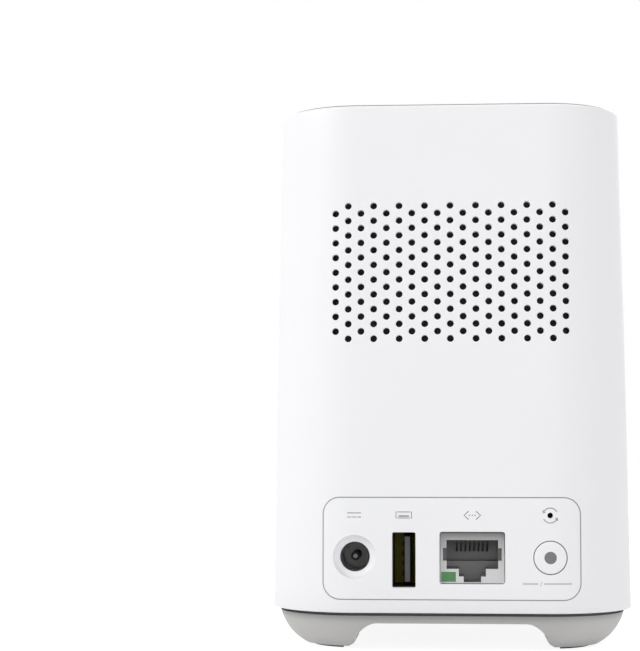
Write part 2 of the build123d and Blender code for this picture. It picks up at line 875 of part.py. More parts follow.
def data_port_contacts():
    rear_y = port_front_y() + port_tongue_setback + port_contact_setback
    face_x = port_tongue_right_x() - port_tongue_thick
    xs = (face_x - port_contact_thick, face_x)
    half_wide = port_contact_wide / 2
    strips = Part()
    for offset in port_contact_offsets:
        z = port_z + offset
        strips += block(xs, (rear_y, rear_y + port_contact_length), (z - half_wide, z + half_wide))
    return strips


# Network socket: a moulded block with the stepped opening that its plug's latch needs.
def net_face_y():
    return wall_outside_y(net_z) + net_face_setback


def net_cut(wide, low_z, high_z, depth):
    """A cut into the socket's face, centred on it sideways."""
    face_y = net_face_y()
    return block((net_x - wide / 2, net_x + wide / 2), (face_y - overrun, face_y + depth), (low_z, high_z))


def network_jack_body():
    wide = net_cut_wide - 2 * net_body_gap
    tall = net_cut_tall - 2 * net_body_gap
    body = through_y(Pos(net_x, net_z) * Rectangle(wide, tall), net_face_y(), board_rear_y)
    body -= net_cut(net_window_wide, net_ledge_high_z, net_window_high_z, net_window_depth)
    body -= net_cut(net_window_wide, net_window_low_z, net_ledge_high_z, net_ledge_depth)
    body -= net_cut(net_notch_wide, net_notch_low_z, net_notch_high_z, net_notch_depth)
    body -= net_cut(net_latch_wide, net_latch_low_z, net_ledge_high_z, net_latch_depth)
    body -= net_cut(net_keel_wide, net_keel_low_z, net_ledge_high_z, net_latch_depth)
    face_y = net_face_y()
    pocket_xs = (net_light_left_x - net_light_gap, net_light_right_x + net_light_gap)
    pocket_zs = (net_light_low_z - net_light_gap, net_light_high_z + net_light_gap)
    return body - block(pocket_xs, (face_y - overrun, face_y + net_light_depth), pocket_zs)


def network_light():
    face_y = net_face_y()
    lens_ys = (face_y + net_light_gap, face_y + net_light_depth)
    return block((net_light_left_x, net_light_right_x), lens_ys, (net_light_low_z, net_light_high_z))


# One contact wire in Y and Z: along the roof of the opening, round at the front and down to the rear.
def contact_outline():
    front_y = net_face_y() + net_contact_setback
    back_y = net_face_y() + net_window_depth
    top_z = net_window_high_z - net_contact_roof_gap
    fold_z = top_z - net_contact_thick
    tip_y = front_y + net_contact_run
    tip_z = top_z - net_contact_drop
    return Polyline(
        (front_y, top_z),
        (back_y, top_z),
        (back_y, fold_z),
        (front_y + 2 * net_contact_thick, fold_z),
        (tip_y, tip_z),
        (tip_y, tip_z - net_contact_thick),
        (front_y, fold_z - net_contact_thick),
        close=True,
    )


def network_jack_contacts():
    wires = Part()
    outline = make_face(contact_outline())
    for number in range(net_contact_count):
        x = net_x + (number - (net_contact_count - 1) / 2) * net_contact_pitch - net_contact_wide / 2
        wires += extrude(Plane.YZ.offset(x) * outline, net_contact_wide)
    return wires


# Button cap: a round head that follows the sleeve's surface, with a flange that stops it behind the
# wall, and a stem.
def sync_button():
    flange_y = button_flange_rear_y()
    stem_y = flange_y + button_flange_thick
    tip_y = switch_tip_y() - button_rest_gap
    head = round_y(button_x, button_z, button_dia, -half - overrun, flange_y) & sleeve_outside(button_proud)
    flange = flat_sided_y(button_x, button_z, button_flange_dia, flange_y, stem_y, hidden_sides)
    return head + flange + flat_sided_y(button_x, button_z, button_stem_dia, stem_y, tip_y, hidden_sides)


def switch_face_y():
    return board_rear_y - switch_tall


def switch_tip_y():
    return switch_face_y() + switch_plunger_inside - switch_plunger_length


def reset_tip_y():
    return switch_face_y() - reset_plunger_out


def switch_body(x, z, side, plunger_dia, travel):
    """A square switch on the board, bored for its plunger and the plunger's travel."""
    face_y = switch_face_y()
    body = block((x - side / 2, x + side / 2), (face_y, board_rear_y), (z - side / 2, z + side / 2))
    bore_dia = (plunger_dia + 2 * switch_plunger_clear) / math.cos(math.pi / hidden_sides)
    bore_end_y = face_y + switch_plunger_inside + travel + switch_plunger_clear
    return body - flat_sided_y(x, z, bore_dia, face_y - overrun, bore_end_y, hidden_sides)


def sync_switch_body():
    return switch_body(button_x, button_z, switch_side, switch_plunger_dia, button_travel)


def sync_switch_plunger():
    end_y = switch_face_y() + switch_plunger_inside
    return flat_sided_y(button_x, button_z, switch_plunger_dia, switch_tip_y(), end_y, hidden_sides)


def reset_switch_body():
    return switch_body(reset_x, reset_z, reset_switch_side, reset_plunger_dia, reset_travel)


def reset_switch_plunger():
    end_y = switch_face_y() + switch_plunger_inside
    return flat_sided_y(reset_x, reset_z, reset_plunger_dia, reset_tip_y(), end_y, hidden_sides)


# Siren basket: a square flange, four legs and a back plate that carries the magnet.
def basket_back_y():
    return siren_plate_rear_y + basket_depth


def siren_basket():
    flange_y = siren_plate_rear_y - flange_thick
    flange_hole = RegularPolygon(flange_hole_dia / 2, siren_sides)
    flange = Pos(0, siren_z) * (Rectangle(flange_side, flange_side) - flange_hole)
    basket = through_y(flange, flange_y, siren_plate_rear_y)
    pass_dia = hole_dia(small_screw_dia, screw_hole_clear)
    for x, z in siren_screw_places():
        basket -= flat_sided_y(x, z, pass_dia, flange_y, siren_plate_rear_y, screw_sides)
    back_y = basket_back_y()
    ring = RegularPolygon(basket_back_dia / 2, siren_sides)
    ring -= RegularPolygon(magnet_gap_outer_dia / 2, siren_sides)
    basket += through_y(Pos(0, siren_z) * ring, back_y - basket_back_thick, back_y)
    leg_outer = siren_hole_dia / 2 * math.cos(math.pi / siren_sides) - basket_leg_gap
    leg_inner = basket_leg_inner_dia / 2
    leg = Polyline(
        (leg_outer, siren_plate_rear_y - flange_thick / 2),
        (leg_outer, siren_plate_rear_y + siren_plate_thick),
        (leg_inner, back_y),
        (leg_inner, back_y - basket_back_thick),
        (leg_outer - basket_back_thick, siren_plate_rear_y - flange_thick / 2),
        close=True,
    )
    leg = Pos(0, 0, siren_z - basket_leg_wide / 2) * extrude(make_face(leg), basket_leg_wide)
    middle = Axis((0, 0, siren_z), (0, 1, 0))
    return basket + [leg.rotate(middle, turn) for turn in (0, 90, 180, 270)]


# Magnet and yoke, with the ring gap that the coil moves in.
def siren_magnet():
    back_y = basket_back_y()
    body = flat_sided_y(0, siren_z, magnet_dia, back_y, back_y + magnet_thick, siren_sides)
    gap = RegularPolygon(magnet_gap_outer_dia / 2, siren_sides)
    gap -= RegularPolygon(magnet_gap_inner_dia / 2, siren_sides)
    gap_depth = coil_dip + cone_excursion + coil_end_clear
    return body - through_y(Pos(0, siren_z) * gap, back_y, back_y + gap_depth)


def cone_rim_y():
    return siren_plate_rear_y - flange_thick + cone_rim_setback


def flat_turned(section):
    """A closed ring about the siren's axis, turned with flats from its section's (radius, y) points."""
    faces = []
    for near, far in zip(section, section[1:] + section[:1]):
        for number in range(siren_sides):
            turns = [2 * math.pi * (number + step) / siren_sides for step in (0, 1)]
            ends = [(radius, y, turn) for turn in turns for radius, y in (near, far)]
            points = [
                (radius * math.cos(turn), y, siren_z + radius * math.sin(turn)) for radius, y, turn in ends
            ]
            faces.append(Face(Wire.make_polygon([points[0], points[1], points[3], points[2]])))
    return Solid(Shell(faces))


# Paper cone: a thin funnel closed by its dust cap at the neck.
def siren_cone():
    rim_y = cone_rim_y()
    neck_y = rim_y + cone_depth
    cap_y = neck_y - dust_cap_thick
    rim_r = cone_rim_dia / 2
    neck_r = cone_neck_dia / 2
    outer = [(rim_r, rim_y), (neck_r, neck_y)]
    inner = [(neck_r - cone_wall, neck_y), (neck_r - cone_wall, cap_y), (rim_r - cone_wall, rim_y)]
    return flat_turned(outer + inner) + flat_sided_y(0, siren_z, cone_neck_dia, cap_y, neck_y, siren_sides)


def siren_coil():
    ring = RegularPolygon(coil_outer_dia / 2, siren_sides) - RegularPolygon(coil_inner_dia / 2, siren_sides)
    return through_y(Pos(0, siren_z) * ring, cone_rim_y() + cone_depth, basket_back_y() + coil_dip)


def siren_surround():
    flange_y = siren_plate_rear_y - flange_thick
    ring = RegularPolygon(surround_outer_dia / 2, siren_sides)
    inner_dia = surround_inner_dia / math.cos(math.pi / siren_sides)
    ring -= RegularPolygon(inner_dia / 2, siren_sides)
    return through_y(Pos(0, siren_z) * ring, flange_y - surround_thick, flange_y)


# Foam frame between the basket and the rear wall, outside the screw heads.
def siren_gasket():
    inner = flange_side - 2 * gasket_wall
    ring = Rectangle(flange_side, flange_side) - Rectangle(inner, inner)
    return through_y(Pos(0, siren_z) * ring, gasket_end_y, siren_plate_rear_y - flange_thick)


# Black cloth glued behind the sound holes: a band of the space just inside the bore's rear wall.
def dust_mesh():
    rear_inset = sleeve_wall + mesh_glue
    outer = drafted(flat_cornered(rear_inset, bore_corner_flats))
    band = outer - drafted(flat_cornered(rear_inset + mesh_thick, bore_corner_flats))
    zs = (vent_middle_z - mesh_tall / 2, vent_middle_z + mesh_tall / 2)
    return band & block((-mesh_wide / 2, mesh_wide / 2), (-half, -corner_place), zs)


# Parts soldered to the board's front face.
def processor_chip():
    ys = (board_front_y, board_front_y + chip_thick)
    chip = block((-chip_side / 2, chip_side / 2), ys, (chip_z - chip_side / 2, chip_z + chip_side / 2))
    return chip


def memory_chips():
    ys = (board_front_y, board_front_y + memory_thick)
    zs = (chip_z - memory_tall / 2, chip_z + memory_tall / 2)
    chips = [block((x - memory_wide / 2, x + memory_wide / 2), ys, zs) for x in (-memory_x, memory_x)]
    return Part() + chips


def thermal_pad():
    rear_y = board_front_y + chip_thick
    zs = (chip_z - chip_side / 2, chip_z + chip_side / 2)
    return block((-chip_side / 2, chip_side / 2), (rear_y, rear_y + thermal_pad_thick), zs)


# Finned aluminium plate on the thermal pad.
def heat_spreader():
    rear_y = board_front_y + chip_thick + thermal_pad_thick
    front_y = rear_y + spreader_thick
    zs = (chip_z - spreader_tall / 2, chip_z + spreader_tall / 2)
    spreader = block((-spreader_wide / 2, spreader_wide / 2), (rear_y, front_y), zs)
    pitch = (spreader_wide - fin_thick) / (fin_count - 1)
    for number in range(fin_count):
        x = number * pitch - spreader_wide / 2
        spreader += block((x, x + fin_thick), (front_y, front_y + fin_deep), zs)
    return spreader


# Open-backed sheet cans over the two radios, on the board's rear face.
def radio_shields():
    cans = Part()
    for x in (-shield_x, shield_x):
        outer = Pos(x, shield_z) * Rectangle(shield_wide, shield_tall)
        inner = Pos(x, shield_z) * Rectangle(shield_wide - 2 * shield_wall, shield_tall - 2 * shield_wall)
        can = through_y(outer, board_rear_y - shield_deep, board_rear_y)
        cans += can - through_y(inner, board_rear_y - shield_deep + shield_wall, board_rear_y)
    return cans


def capacitors():
    rear_y = board_rear_y - capacitor_tall
    return Part() + [
        flat_sided_y(x, capacitor_row_z, capacitor_dia, rear_y, board_rear_y, screw_sides)
        for x in capacitor_xs
    ]


def power_coils():
    outline = chamfer(Rectangle(coil_side, coil_side).vertices(), coil_corner_cut)
    coils = [Pos(x, capacitor_row_z) * outline for x in coil_xs]
    return Part() + [through_y(coil, board_rear_y - coil_tall, board_rear_y) for coil in coils]


# Stamped antenna: a slotted strip on a side plate's outer face, with a foot soldered to the board.
def antenna(sx):
    outer_x = plate_outer_x + antenna_thick
    front_y = plate_rear_y + antenna_deep
    strip = block((plate_outer_x, outer_x), (board_front_y, front_y), (antenna_low_z, antenna_high_z))
    slot_y = (plate_rear_y + front_y) / 2
    slot_ys = (slot_y - antenna_slot_wide / 2, slot_y + antenna_slot_wide / 2)
    slot_zs = (antenna_low_z + antenna_slot_end_margin, antenna_high_z - antenna_slot_end_margin)
    strip -= block((plate_outer_x, outer_x), slot_ys, slot_zs)
    clear_z = bracket_low_z - antenna_clear
    strip -= block((plate_outer_x, outer_x), (board_front_y, plate_rear_y), (clear_z, antenna_high_z))
    foot_x = board_wide / 2 - antenna_foot_in
    foot_zs = (antenna_low_z, antenna_low_z + antenna_foot_tall)
    piece = strip + block((foot_x, outer_x), (board_front_y, plate_rear_y), foot_zs)
    return piece if sx > 0 else mirror(piece, Plane.YZ)


def antennas():
    return Part() + [antenna(-1), antenna(1)]


# Front indicator: lens in the wall, board behind it on the arms, and the flat cable down to the main board.
def status_lens():
    flange_front_y = outside_half(light_z + lens_tall / 2 + lens_flange_margin) - sleeve_wall - lens_back_gap
    front_y = outside_half(light_z + lens_tall / 2) - lens_sink
    outline = Pos(0, light_z) * SlotOverall(lens_wide - 2 * lens_gap, lens_tall - 2 * lens_gap)
    lens = through_y(outline, flange_front_y, front_y)
    flange_half_wide = lens_wide / 2 + lens_flange_margin
    flange_half_tall = lens_tall / 2 + lens_flange_margin
    flange_ys = (flange_front_y - lens_flange_thick, flange_front_y)
    flange_zs = (light_z - flange_half_tall, light_z + flange_half_tall)
    return lens + block((-flange_half_wide, flange_half_wide), flange_ys, flange_zs)


def light_board():
    half_wide = plate_outer_x - light_board_end_gap
    zs = (light_z - light_board_tall / 2, light_z + light_board_tall / 2)
    board = block((-half_wide, half_wide), (arm_front_y, arm_front_y + light_board_thick), zs)
    pass_dia = hole_dia(small_screw_dia, screw_hole_clear)
    for x, z in light_screw_places():
        board -= flat_sided_y(x, z, pass_dia, arm_front_y, arm_front_y + light_board_thick, screw_sides)
    return board


def status_leds():
    rear_y = arm_front_y + light_board_thick
    leds = Part()
    for number in range(led_count):
        x = (number - (led_count - 1) / 2) * led_pitch
        xs = (x - led_wide / 2, x + led_wide / 2)
        leds += block(xs, (rear_y, rear_y + led_thick), (light_z - led_tall / 2, light_z + led_tall / 2))
    return leds


def flex_plug():
    xs = (board_wide / 2 - flex_plug_wide, board_wide / 2)
    ys = (board_front_y, board_front_y + flex_plug_deep)
    return block(xs, ys, (flex_low_z, flex_low_z + flex_plug_tall))


def light_flex():
    xs = (plate_inner_x - flex_thick, plate_inner_x)
    low = block(xs, (board_front_y, plate_front_y), (flex_low_z, flex_low_z + flex_wide))
    rise_ys = (plate_front_y - flex_wide, plate_front_y)
    high_zs = (light_z - flex_wide / 2, light_z + flex_wide / 2)
    rise = block(xs, rise_ys, (flex_low_z, high_zs[1]))
    return low + rise + block(xs, (rise_ys[0], arm_front_y - arm_lug_deep), high_zs)


pieces = {
    "outer_shell": outer_shell,
    "top_cap": top_cap,
    "base_tub": base_tub,
    "foot_pads": foot_pads,
    "base_screws": base_screws,
    "inner_frame": inner_frame,
    "main_board": main_board,
    "board_screws": board_screws,
    "power_jack_body": power_jack_body,
    "power_jack_pin": power_jack_pin,
    "power_jack_spring": power_jack_spring,
    "data_port_shell": data_port_shell,
    "data_port_tongue": data_port_tongue,
    "data_port_contacts": data_port_contacts,
    "network_jack_body": network_jack_body,
    "network_jack_contacts": network_jack_contacts,
    "network_light": network_light,
    "sync_button": sync_button,
    "sync_switch_body": sync_switch_body,
    "sync_switch_plunger": sync_switch_plunger,
    "reset_switch_body": reset_switch_body,
    "reset_switch_plunger": reset_switch_plunger,
    "siren_basket": siren_basket,
    "siren_magnet": siren_magnet,
    "siren_cone": siren_cone,
    "siren_coil": siren_coil,
    "siren_surround": siren_surround,
    "siren_gasket": siren_gasket,
    "siren_screws": siren_screws,
    "dust_mesh": dust_mesh,
    "processor_chip": processor_chip,
    "memory_chips": memory_chips,
    "thermal_pad": thermal_pad,
    "heat_spreader": heat_spreader,
    "radio_shields": radio_shields,
    "capacitors": capacitors,
    "power_coils": power_coils,
    "antennas": antennas,
    "status_lens": status_lens,
    "light_board": light_board,
    "light_board_screws": light_board_screws,
    "status_leds": status_leds,
    "flex_plug": flex_plug,
    "light_flex": light_flex,
}

os.makedirs("parts", exist_ok=True)
for name, make in pieces.items():
    save(make(), name)
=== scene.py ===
import math

import bpy
import numpy as np
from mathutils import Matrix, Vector
from mathutils.geometry import delaunay_2d_cdt


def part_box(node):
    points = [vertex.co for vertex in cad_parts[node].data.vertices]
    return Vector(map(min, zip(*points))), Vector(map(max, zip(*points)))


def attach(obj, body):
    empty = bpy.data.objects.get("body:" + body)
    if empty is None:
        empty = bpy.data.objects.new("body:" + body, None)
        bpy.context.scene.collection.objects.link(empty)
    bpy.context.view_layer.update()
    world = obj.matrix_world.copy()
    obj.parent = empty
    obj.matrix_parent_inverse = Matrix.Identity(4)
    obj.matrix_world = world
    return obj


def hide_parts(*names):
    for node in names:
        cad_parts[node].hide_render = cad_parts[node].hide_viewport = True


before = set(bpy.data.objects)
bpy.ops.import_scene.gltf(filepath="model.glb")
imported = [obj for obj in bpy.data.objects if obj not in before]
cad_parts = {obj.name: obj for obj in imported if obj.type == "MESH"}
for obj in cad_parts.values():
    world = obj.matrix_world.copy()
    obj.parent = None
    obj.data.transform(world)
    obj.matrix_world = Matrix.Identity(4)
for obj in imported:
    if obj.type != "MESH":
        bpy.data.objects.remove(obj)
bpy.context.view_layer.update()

# Sleeve: the white outer moulding of satin plastic, drafted towards the top. It carries every other piece and
# is screwed to the base from below. Its wall is worked out as one surface, with each sound hole and socket
# opening cut to its true outline.
mm = 0.001
sleeve_low, sleeve_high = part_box("outer_shell")
half = sleeve_high.x
sleeve_bottom = sleeve_low.z
sleeve_top = sleeve_high.z
corner_r = 20.8 * mm
corner_place = half - corner_r
draft = math.tan(math.radians(0.92))
sleeve_wall = 2.0 * mm
rim_wall = 1.2 * mm
rim_round = 0.8 * mm
rim_break = 0.15 * mm
foot_round = 0.3 * mm
foot_halfway_share = 0.29
cap_seat_depth = 1.6 * mm
edge_break = 0.07 * mm
sharp_angle = math.radians(30)

corner_step = math.radians(3)
flat_step = 3.7 * mm
row_step = 4.5 * mm
hole_room_share, near_share = 1.12, 1.2
whole_hull, merge_reach_mm = 0, 1e-6
vent_sides, round_sides, pinhole_sides = 20, 72, 24
side_length = 2 * corner_place + corner_r * math.pi / 2

vent_dia = 1.62 * mm
vent_columns = 19
vent_rows = 10
vent_column_pitch = 2.98 * mm
vent_row_pitch = 3.47 * mm
vent_middle_z = 88.1 * mm
jack_x, jack_z = -22.3 * mm, 21.85 * mm
dish_dia, dish_floor_dia = 10.0 * mm, 6.9 * mm
dish_lip, dish_depth = 0.25 * mm, 1.75 * mm
port_x, port_z = -10.9 * mm, 21.2 * mm
port_wide, port_tall, port_round = 5.4 * mm, 12.7 * mm, 0.35 * mm
net_x, net_z = 4.885 * mm, 21.7 * mm
net_wide, net_tall, net_round = 15.06 * mm, 12.0 * mm, 0.6 * mm
button_x, button_z = 22.8 * mm, 21.8 * mm
button_hole_dia = 7.85 * mm
pinhole_x, pinhole_z = 22.8 * mm, 31.5 * mm
pinhole_dia = 1.3 * mm
slot_z = 102.0 * mm
slot_wide, slot_tall, slot_round = 14.0 * mm, 2.0 * mm, 0.96 * mm


def corner_radius(z, inset):
    """Corner radius at a height: the radius at the lower edge, less the inset, less the draft's share."""
    return corner_r - inset - (z - sleeve_bottom) * draft


def girth_points(s, z, inset):
    """Points of the wall at a girth s, counted at the lower edge from the rear wall's middle towards +X.

    Each side owns its flat and 45 degrees of both corners. With t the place on the side and p the turn
    into the corner, the point is (min(|t|, c) + r sin p, -(c + r cos p)), turned to its side.
    """
    s, z, inset = np.broadcast_arrays(s, z, inset)
    side = np.round(s / side_length)
    t = s - side * side_length
    turn = np.maximum(np.abs(t) - corner_place, 0) / corner_r
    radius = corner_radius(z, inset)
    across = np.sign(t) * (np.minimum(np.abs(t), corner_place) + radius * np.sin(turn))
    out = corner_place + radius * np.cos(turn)
    a = side * math.pi / 2
    return np.stack([across * np.cos(a) + out * np.sin(a), across * np.sin(a) - out * np.cos(a), z], -1)


def rear_y(x, z, inset=0.0):
    """Y of the rear wall: -(c + sqrt(r^2 - past^2)), where past is how far x lies into the corner."""
    past = np.maximum(np.abs(x) - corner_place, 0)
    return -(corner_place + np.sqrt(corner_radius(z, inset) ** 2 - past**2))


def rear_girth(x, z, inset):
    """Girth of a place on the rear wall: |x| up to c, and then c plus the lower edge's radius times the turn
    arcsin(past / r)."""
    past = np.maximum(np.abs(x) - corner_place, 0)
    turn = np.arcsin(past / corner_radius(z, inset))
    return np.sign(x) * (np.minimum(np.abs(x), corner_place) + corner_r * turn)


def on_wall(x, z, inset, turn):
    """Places on the rear wall, or with turn -1 on the front wall, which is the rear one turned half round."""
    return np.stack([turn * x, turn * rear_y(x, z, inset), z], 1)


def round_outline(x, z, dia, count):
    """A function of a growth g that gives the circle (x + (r + g) cos a, z + (r + g) sin a)."""
    a = np.arange(count) / count * 2 * math.pi
    return lambda grow: (x + (dia / 2 + grow) * np.cos(a), z + (dia / 2 + grow) * np.sin(a))


def boxed_outline(x, z, wide, tall, radius, count=8):
    """The same for a rectangle: a quarter circle of radius r + g round the middle of each round corner."""
    a = np.arange(count + 1) / count * math.pi / 2

    def outline(grow):
        xs, zs = [], []
        for quarter, (sx, sz) in enumerate([(1, 1), (-1, 1), (-1, -1), (1, -1)]):
            turn = a + quarter * math.pi / 2
            xs.append(x + sx * (wide / 2 - radius) + (radius + grow) * np.cos(turn))
            zs.append(z + sz * (tall / 2 - radius) + (radius + grow) * np.sin(turn))
        return np.concatenate(xs), np.concatenate(zs)

    return outline


def wall_sheet(columns, z_low, z_high, inset, outlines):
    """Triangles of the wall between two heights, with holes given as (x, z, turn).

    A grid over girth and height leaves out the places within a hole or its room. Grid and outlines are
    joined by a constrained Delaunay triangulation, and the last column is the first one again. Returns
    points, faces, the lower and the upper row, and each hole's row.
    """
    rows = np.linspace(z_low, z_high, int(round((z_high - z_low) / row_step)) + 1)
    girths = np.append(columns, columns[0] + 4 * side_length)
    grid_s, grid_z = [a.ravel() for a in np.meshgrid(girths, rows)]
    edge = (grid_z == rows[0]) | (grid_z == rows[-1]) | (grid_s == girths[0]) | (grid_s == girths[-1])
    keep = np.ones(len(grid_s), bool)
    loops = []
    for x, z, turn in outlines:
        s = rear_girth(x, z, inset) + (1 - turn) * side_length
        loops.append(np.stack([s, z], 1))
        middle_s, middle_z = s.mean(), z.mean()
        room_s, room_z = (s - middle_s) * hole_room_share, (z - middle_z) * hole_room_share
        along_s, along_z = np.roll(room_s, -1) - room_s, np.roll(room_z, -1) - room_z
        reach = near_share * np.hypot(room_s, room_z).max()
        near = np.flatnonzero(~edge & (np.hypot(grid_s - middle_s, grid_z - middle_z) < reach))
        side = (along_s[:, None] * (grid_z[near] - middle_z - room_z[:, None])
                - along_z[:, None] * (grid_s[near] - middle_s - room_s[:, None]))
        keep[near[(side > 0).all(0)]] = False
    grid_s, grid_z = grid_s[keep], grid_z[keep]

    plan = [np.stack([grid_s, grid_z], 1)] + loops
    starts = np.cumsum([0] + [len(places) for places in plan])
    rings = [np.arange(first, last) for first, last in zip(starts[1:-1], starts[2:])]
    cuts = np.concatenate([np.stack([ring, np.roll(ring, -1)], 1) for ring in rings])
    flat = (np.concatenate(plan) / mm).tolist()
    out = delaunay_2d_cdt(flat, cuts.tolist(), [], whole_hull, merge_reach_mm, True)
    triangles, first_ids = np.array(out[2]), np.array([ids[0] for ids in out[3]])
    faces = first_ids[triangles]
    owners = np.repeat(np.arange(len(plan)), np.diff(starts))[faces]
    in_hole = (owners[:, 0] > 0) & (owners[:, 0] == owners[:, 1]) & (owners[:, 1] == owners[:, 2])
    faces = faces[~in_hole]

    points = [girth_points(grid_s, grid_z, inset)]
    points += [on_wall(x, z, inset, turn) for x, z, turn in outlines]
    last_column = grid_s == girths[-1]
    seam = np.arange(starts[-1])
    seam[np.flatnonzero(last_column)] = np.flatnonzero(grid_s == girths[0])
    low = np.flatnonzero((grid_z == rows[0]) & ~last_column)
    high = np.flatnonzero((grid_z == rows[-1]) & ~last_column)
    return np.concatenate(points), seam[faces], low, high, rings


def bridge(a, b):
    """Quads between two closed rows of points: a, the next of a, the next of b, and b."""
    return np.stack([a, np.roll(a, -1), np.roll(b, -1), b], 1)


def smoothed(mesh):
    """Shades a mesh smooth, except across edges that turn by more than the sharp angle."""
    mesh.shade_smooth()
    mesh.set_sharp_from_angle(angle=sharp_angle)


def solid_mesh(name, points, blocks):
    """A mesh object in the world's place from points and arrays of faces; points without a face are left out
    and the others are counted anew."""
    mesh = bpy.data.meshes.new(name)
    used = np.unique(np.concatenate([block.ravel() for block in blocks]))
    place = np.full(len(points), -1)
    place[used] = np.arange(len(used))
    mesh.from_pydata(points[used].tolist(), [], [face for block in blocks for face in place[block].tolist()])
    mesh.validate()
    smoothed(mesh)
    piece = bpy.data.objects.new(name, mesh)
    bpy.context.collection.objects.link(piece)
    return piece


def vent_places():
    """Centres of the sound holes, evenly spaced about the middle; every other column is one hole shorter."""
    places = []
    for column in range(vent_columns):
        rows = vent_rows - 1 if column % 2 == 0 else vent_rows
        x = (column - (vent_columns - 1) / 2) * vent_column_pitch
        places += [(x, vent_middle_z + (row - (rows - 1) / 2) * vent_row_pitch) for row in range(rows)]
    return places


def plain_hole(outline):
    """A straight hole's rows, as (outline, growth, depth in the wall, fixed Y): the broken edge's outside and
    inside, and the inner wall."""
    rows = [(edge_break, 0.0), (0.0, edge_break), (0.0, sleeve_wall)]
    return [(outline, grow, depth, None) for grow, depth in rows]


def dished_hole():
    """The power inlet's dish: a quarter of an ellipse, steep at its rim and level at the smaller opening. At
    the angle a the radius has shrunk by its share 1 - cos a and the depth has grown by its share sin a."""
    wide = round_outline(jack_x, jack_z, dish_dia, round_sides)
    narrow = round_outline(jack_x, jack_z, dish_floor_dia, round_sides)
    front = rear_y(jack_x, jack_z)
    rows = [(wide, edge_break, 0.0, None), (wide, 0.0, edge_break, None)]
    for a in np.radians(np.linspace(0, 90, 10)):
        grow = (dish_floor_dia - dish_dia) / 2 * (1 - math.cos(a))
        rows.append((wide, grow, 0.0, front + dish_lip + (dish_depth - dish_lip) * math.sin(a)))
    return rows + [(narrow, 0.0, sleeve_wall, None)]


def build_sleeve():
    """The whole wall: an outer and an inner sheet, joined by the rim, the lower edge and every hole's side.
    The rim and the lower edge are quarter circles, drawn in by r (1 - cos a) at a rise of r sin a."""
    quarter = np.concatenate([
        np.linspace(-corner_place, corner_place, int(round(2 * corner_place / flat_step)) + 1)[:-1],
        corner_place + corner_r * np.arange(0, math.pi / 2 - 1e-9, corner_step),
    ])
    columns = np.concatenate([quarter + k * side_length for k in range(4)])
    columns = np.sort(np.where(columns > 2.5 * side_length, columns - 4 * side_length, columns))
    holes = [plain_hole(round_outline(x, z, vent_dia, vent_sides)) for x, z in vent_places()]
    holes += [
        dished_hole(),
        plain_hole(boxed_outline(port_x, port_z, port_wide, port_tall, port_round)),
        plain_hole(boxed_outline(net_x, net_z, net_wide, net_tall, net_round)),
        plain_hole(round_outline(button_x, button_z, button_hole_dia, round_sides)),
        plain_hole(round_outline(pinhole_x, pinhole_z, pinhole_dia, pinhole_sides)),
        plain_hole(boxed_outline(0, slot_z, slot_wide, slot_tall, slot_round)),
    ]
    turns = [1] * (len(holes) - 1) + [-1]

    def sheet(z_low, z_high, inset, end):
        """A sheet with each hole's first or last row cut out."""
        outlines = [(*hole[end][0](hole[end][1]), turn) for hole, turn in zip(holes, turns)]
        return wall_sheet(columns, z_low, z_high, inset, outlines)

    outer_points, outer_faces, outer_low, outer_high, outer_rings = sheet(
        sleeve_bottom + foot_round, sleeve_top - rim_round, 0.0, 0)
    inner_points, inner_faces, inner_low, inner_high, inner_rings = sheet(
        sleeve_bottom, sleeve_top - cap_seat_depth, sleeve_wall, -1)
    shift = len(outer_points)
    points = [outer_points, inner_points]
    faces = [outer_faces, inner_faces[:, ::-1] + shift]

    def join(row, fresh_rows, end):
        """Quads from a row of points through fresh rows to an end row."""
        for fresh_points in fresh_rows:
            fresh = sum(map(len, points)) + np.arange(len(fresh_points))
            points.append(fresh_points)
            faces.append(bridge(row, fresh))
            row = fresh
        faces.append(bridge(row, end))

    rim = [(rim_round * (1 - math.cos(a)), sleeve_top - rim_round + rim_round * math.sin(a))
           for a in np.radians([15, 30, 45, 60, 75, 90])]
    rim += [(rim_wall - rim_break, sleeve_top), (rim_wall, sleeve_top - rim_break),
            (rim_wall, sleeve_top - cap_seat_depth)]
    halfway = foot_round * foot_halfway_share
    foot = [(foot_round, sleeve_bottom), (halfway, sleeve_bottom + halfway)]
    join(outer_high, [girth_points(columns, z, inset) for inset, z in rim], inner_high + shift)
    join(inner_low + shift, [girth_points(columns, z, inset) for inset, z in foot], outer_low)
    for hole, turn, outer_ring, inner_ring in zip(holes, turns, outer_rings, inner_rings):
        side = []
        for outline, grow, depth, y in hole[1:-1]:
            x, z = outline(grow)
            ys = rear_y(x, z) + depth if y is None else np.full(len(x), y)
            side.append(np.stack([turn * x, turn * ys, z], 1))
        join(outer_ring, side, inner_ring + shift)
    return solid_mesh("sleeve", np.concatenate(points), faces)


cloud_wide = 25 * mm
rough_spread = 0.06


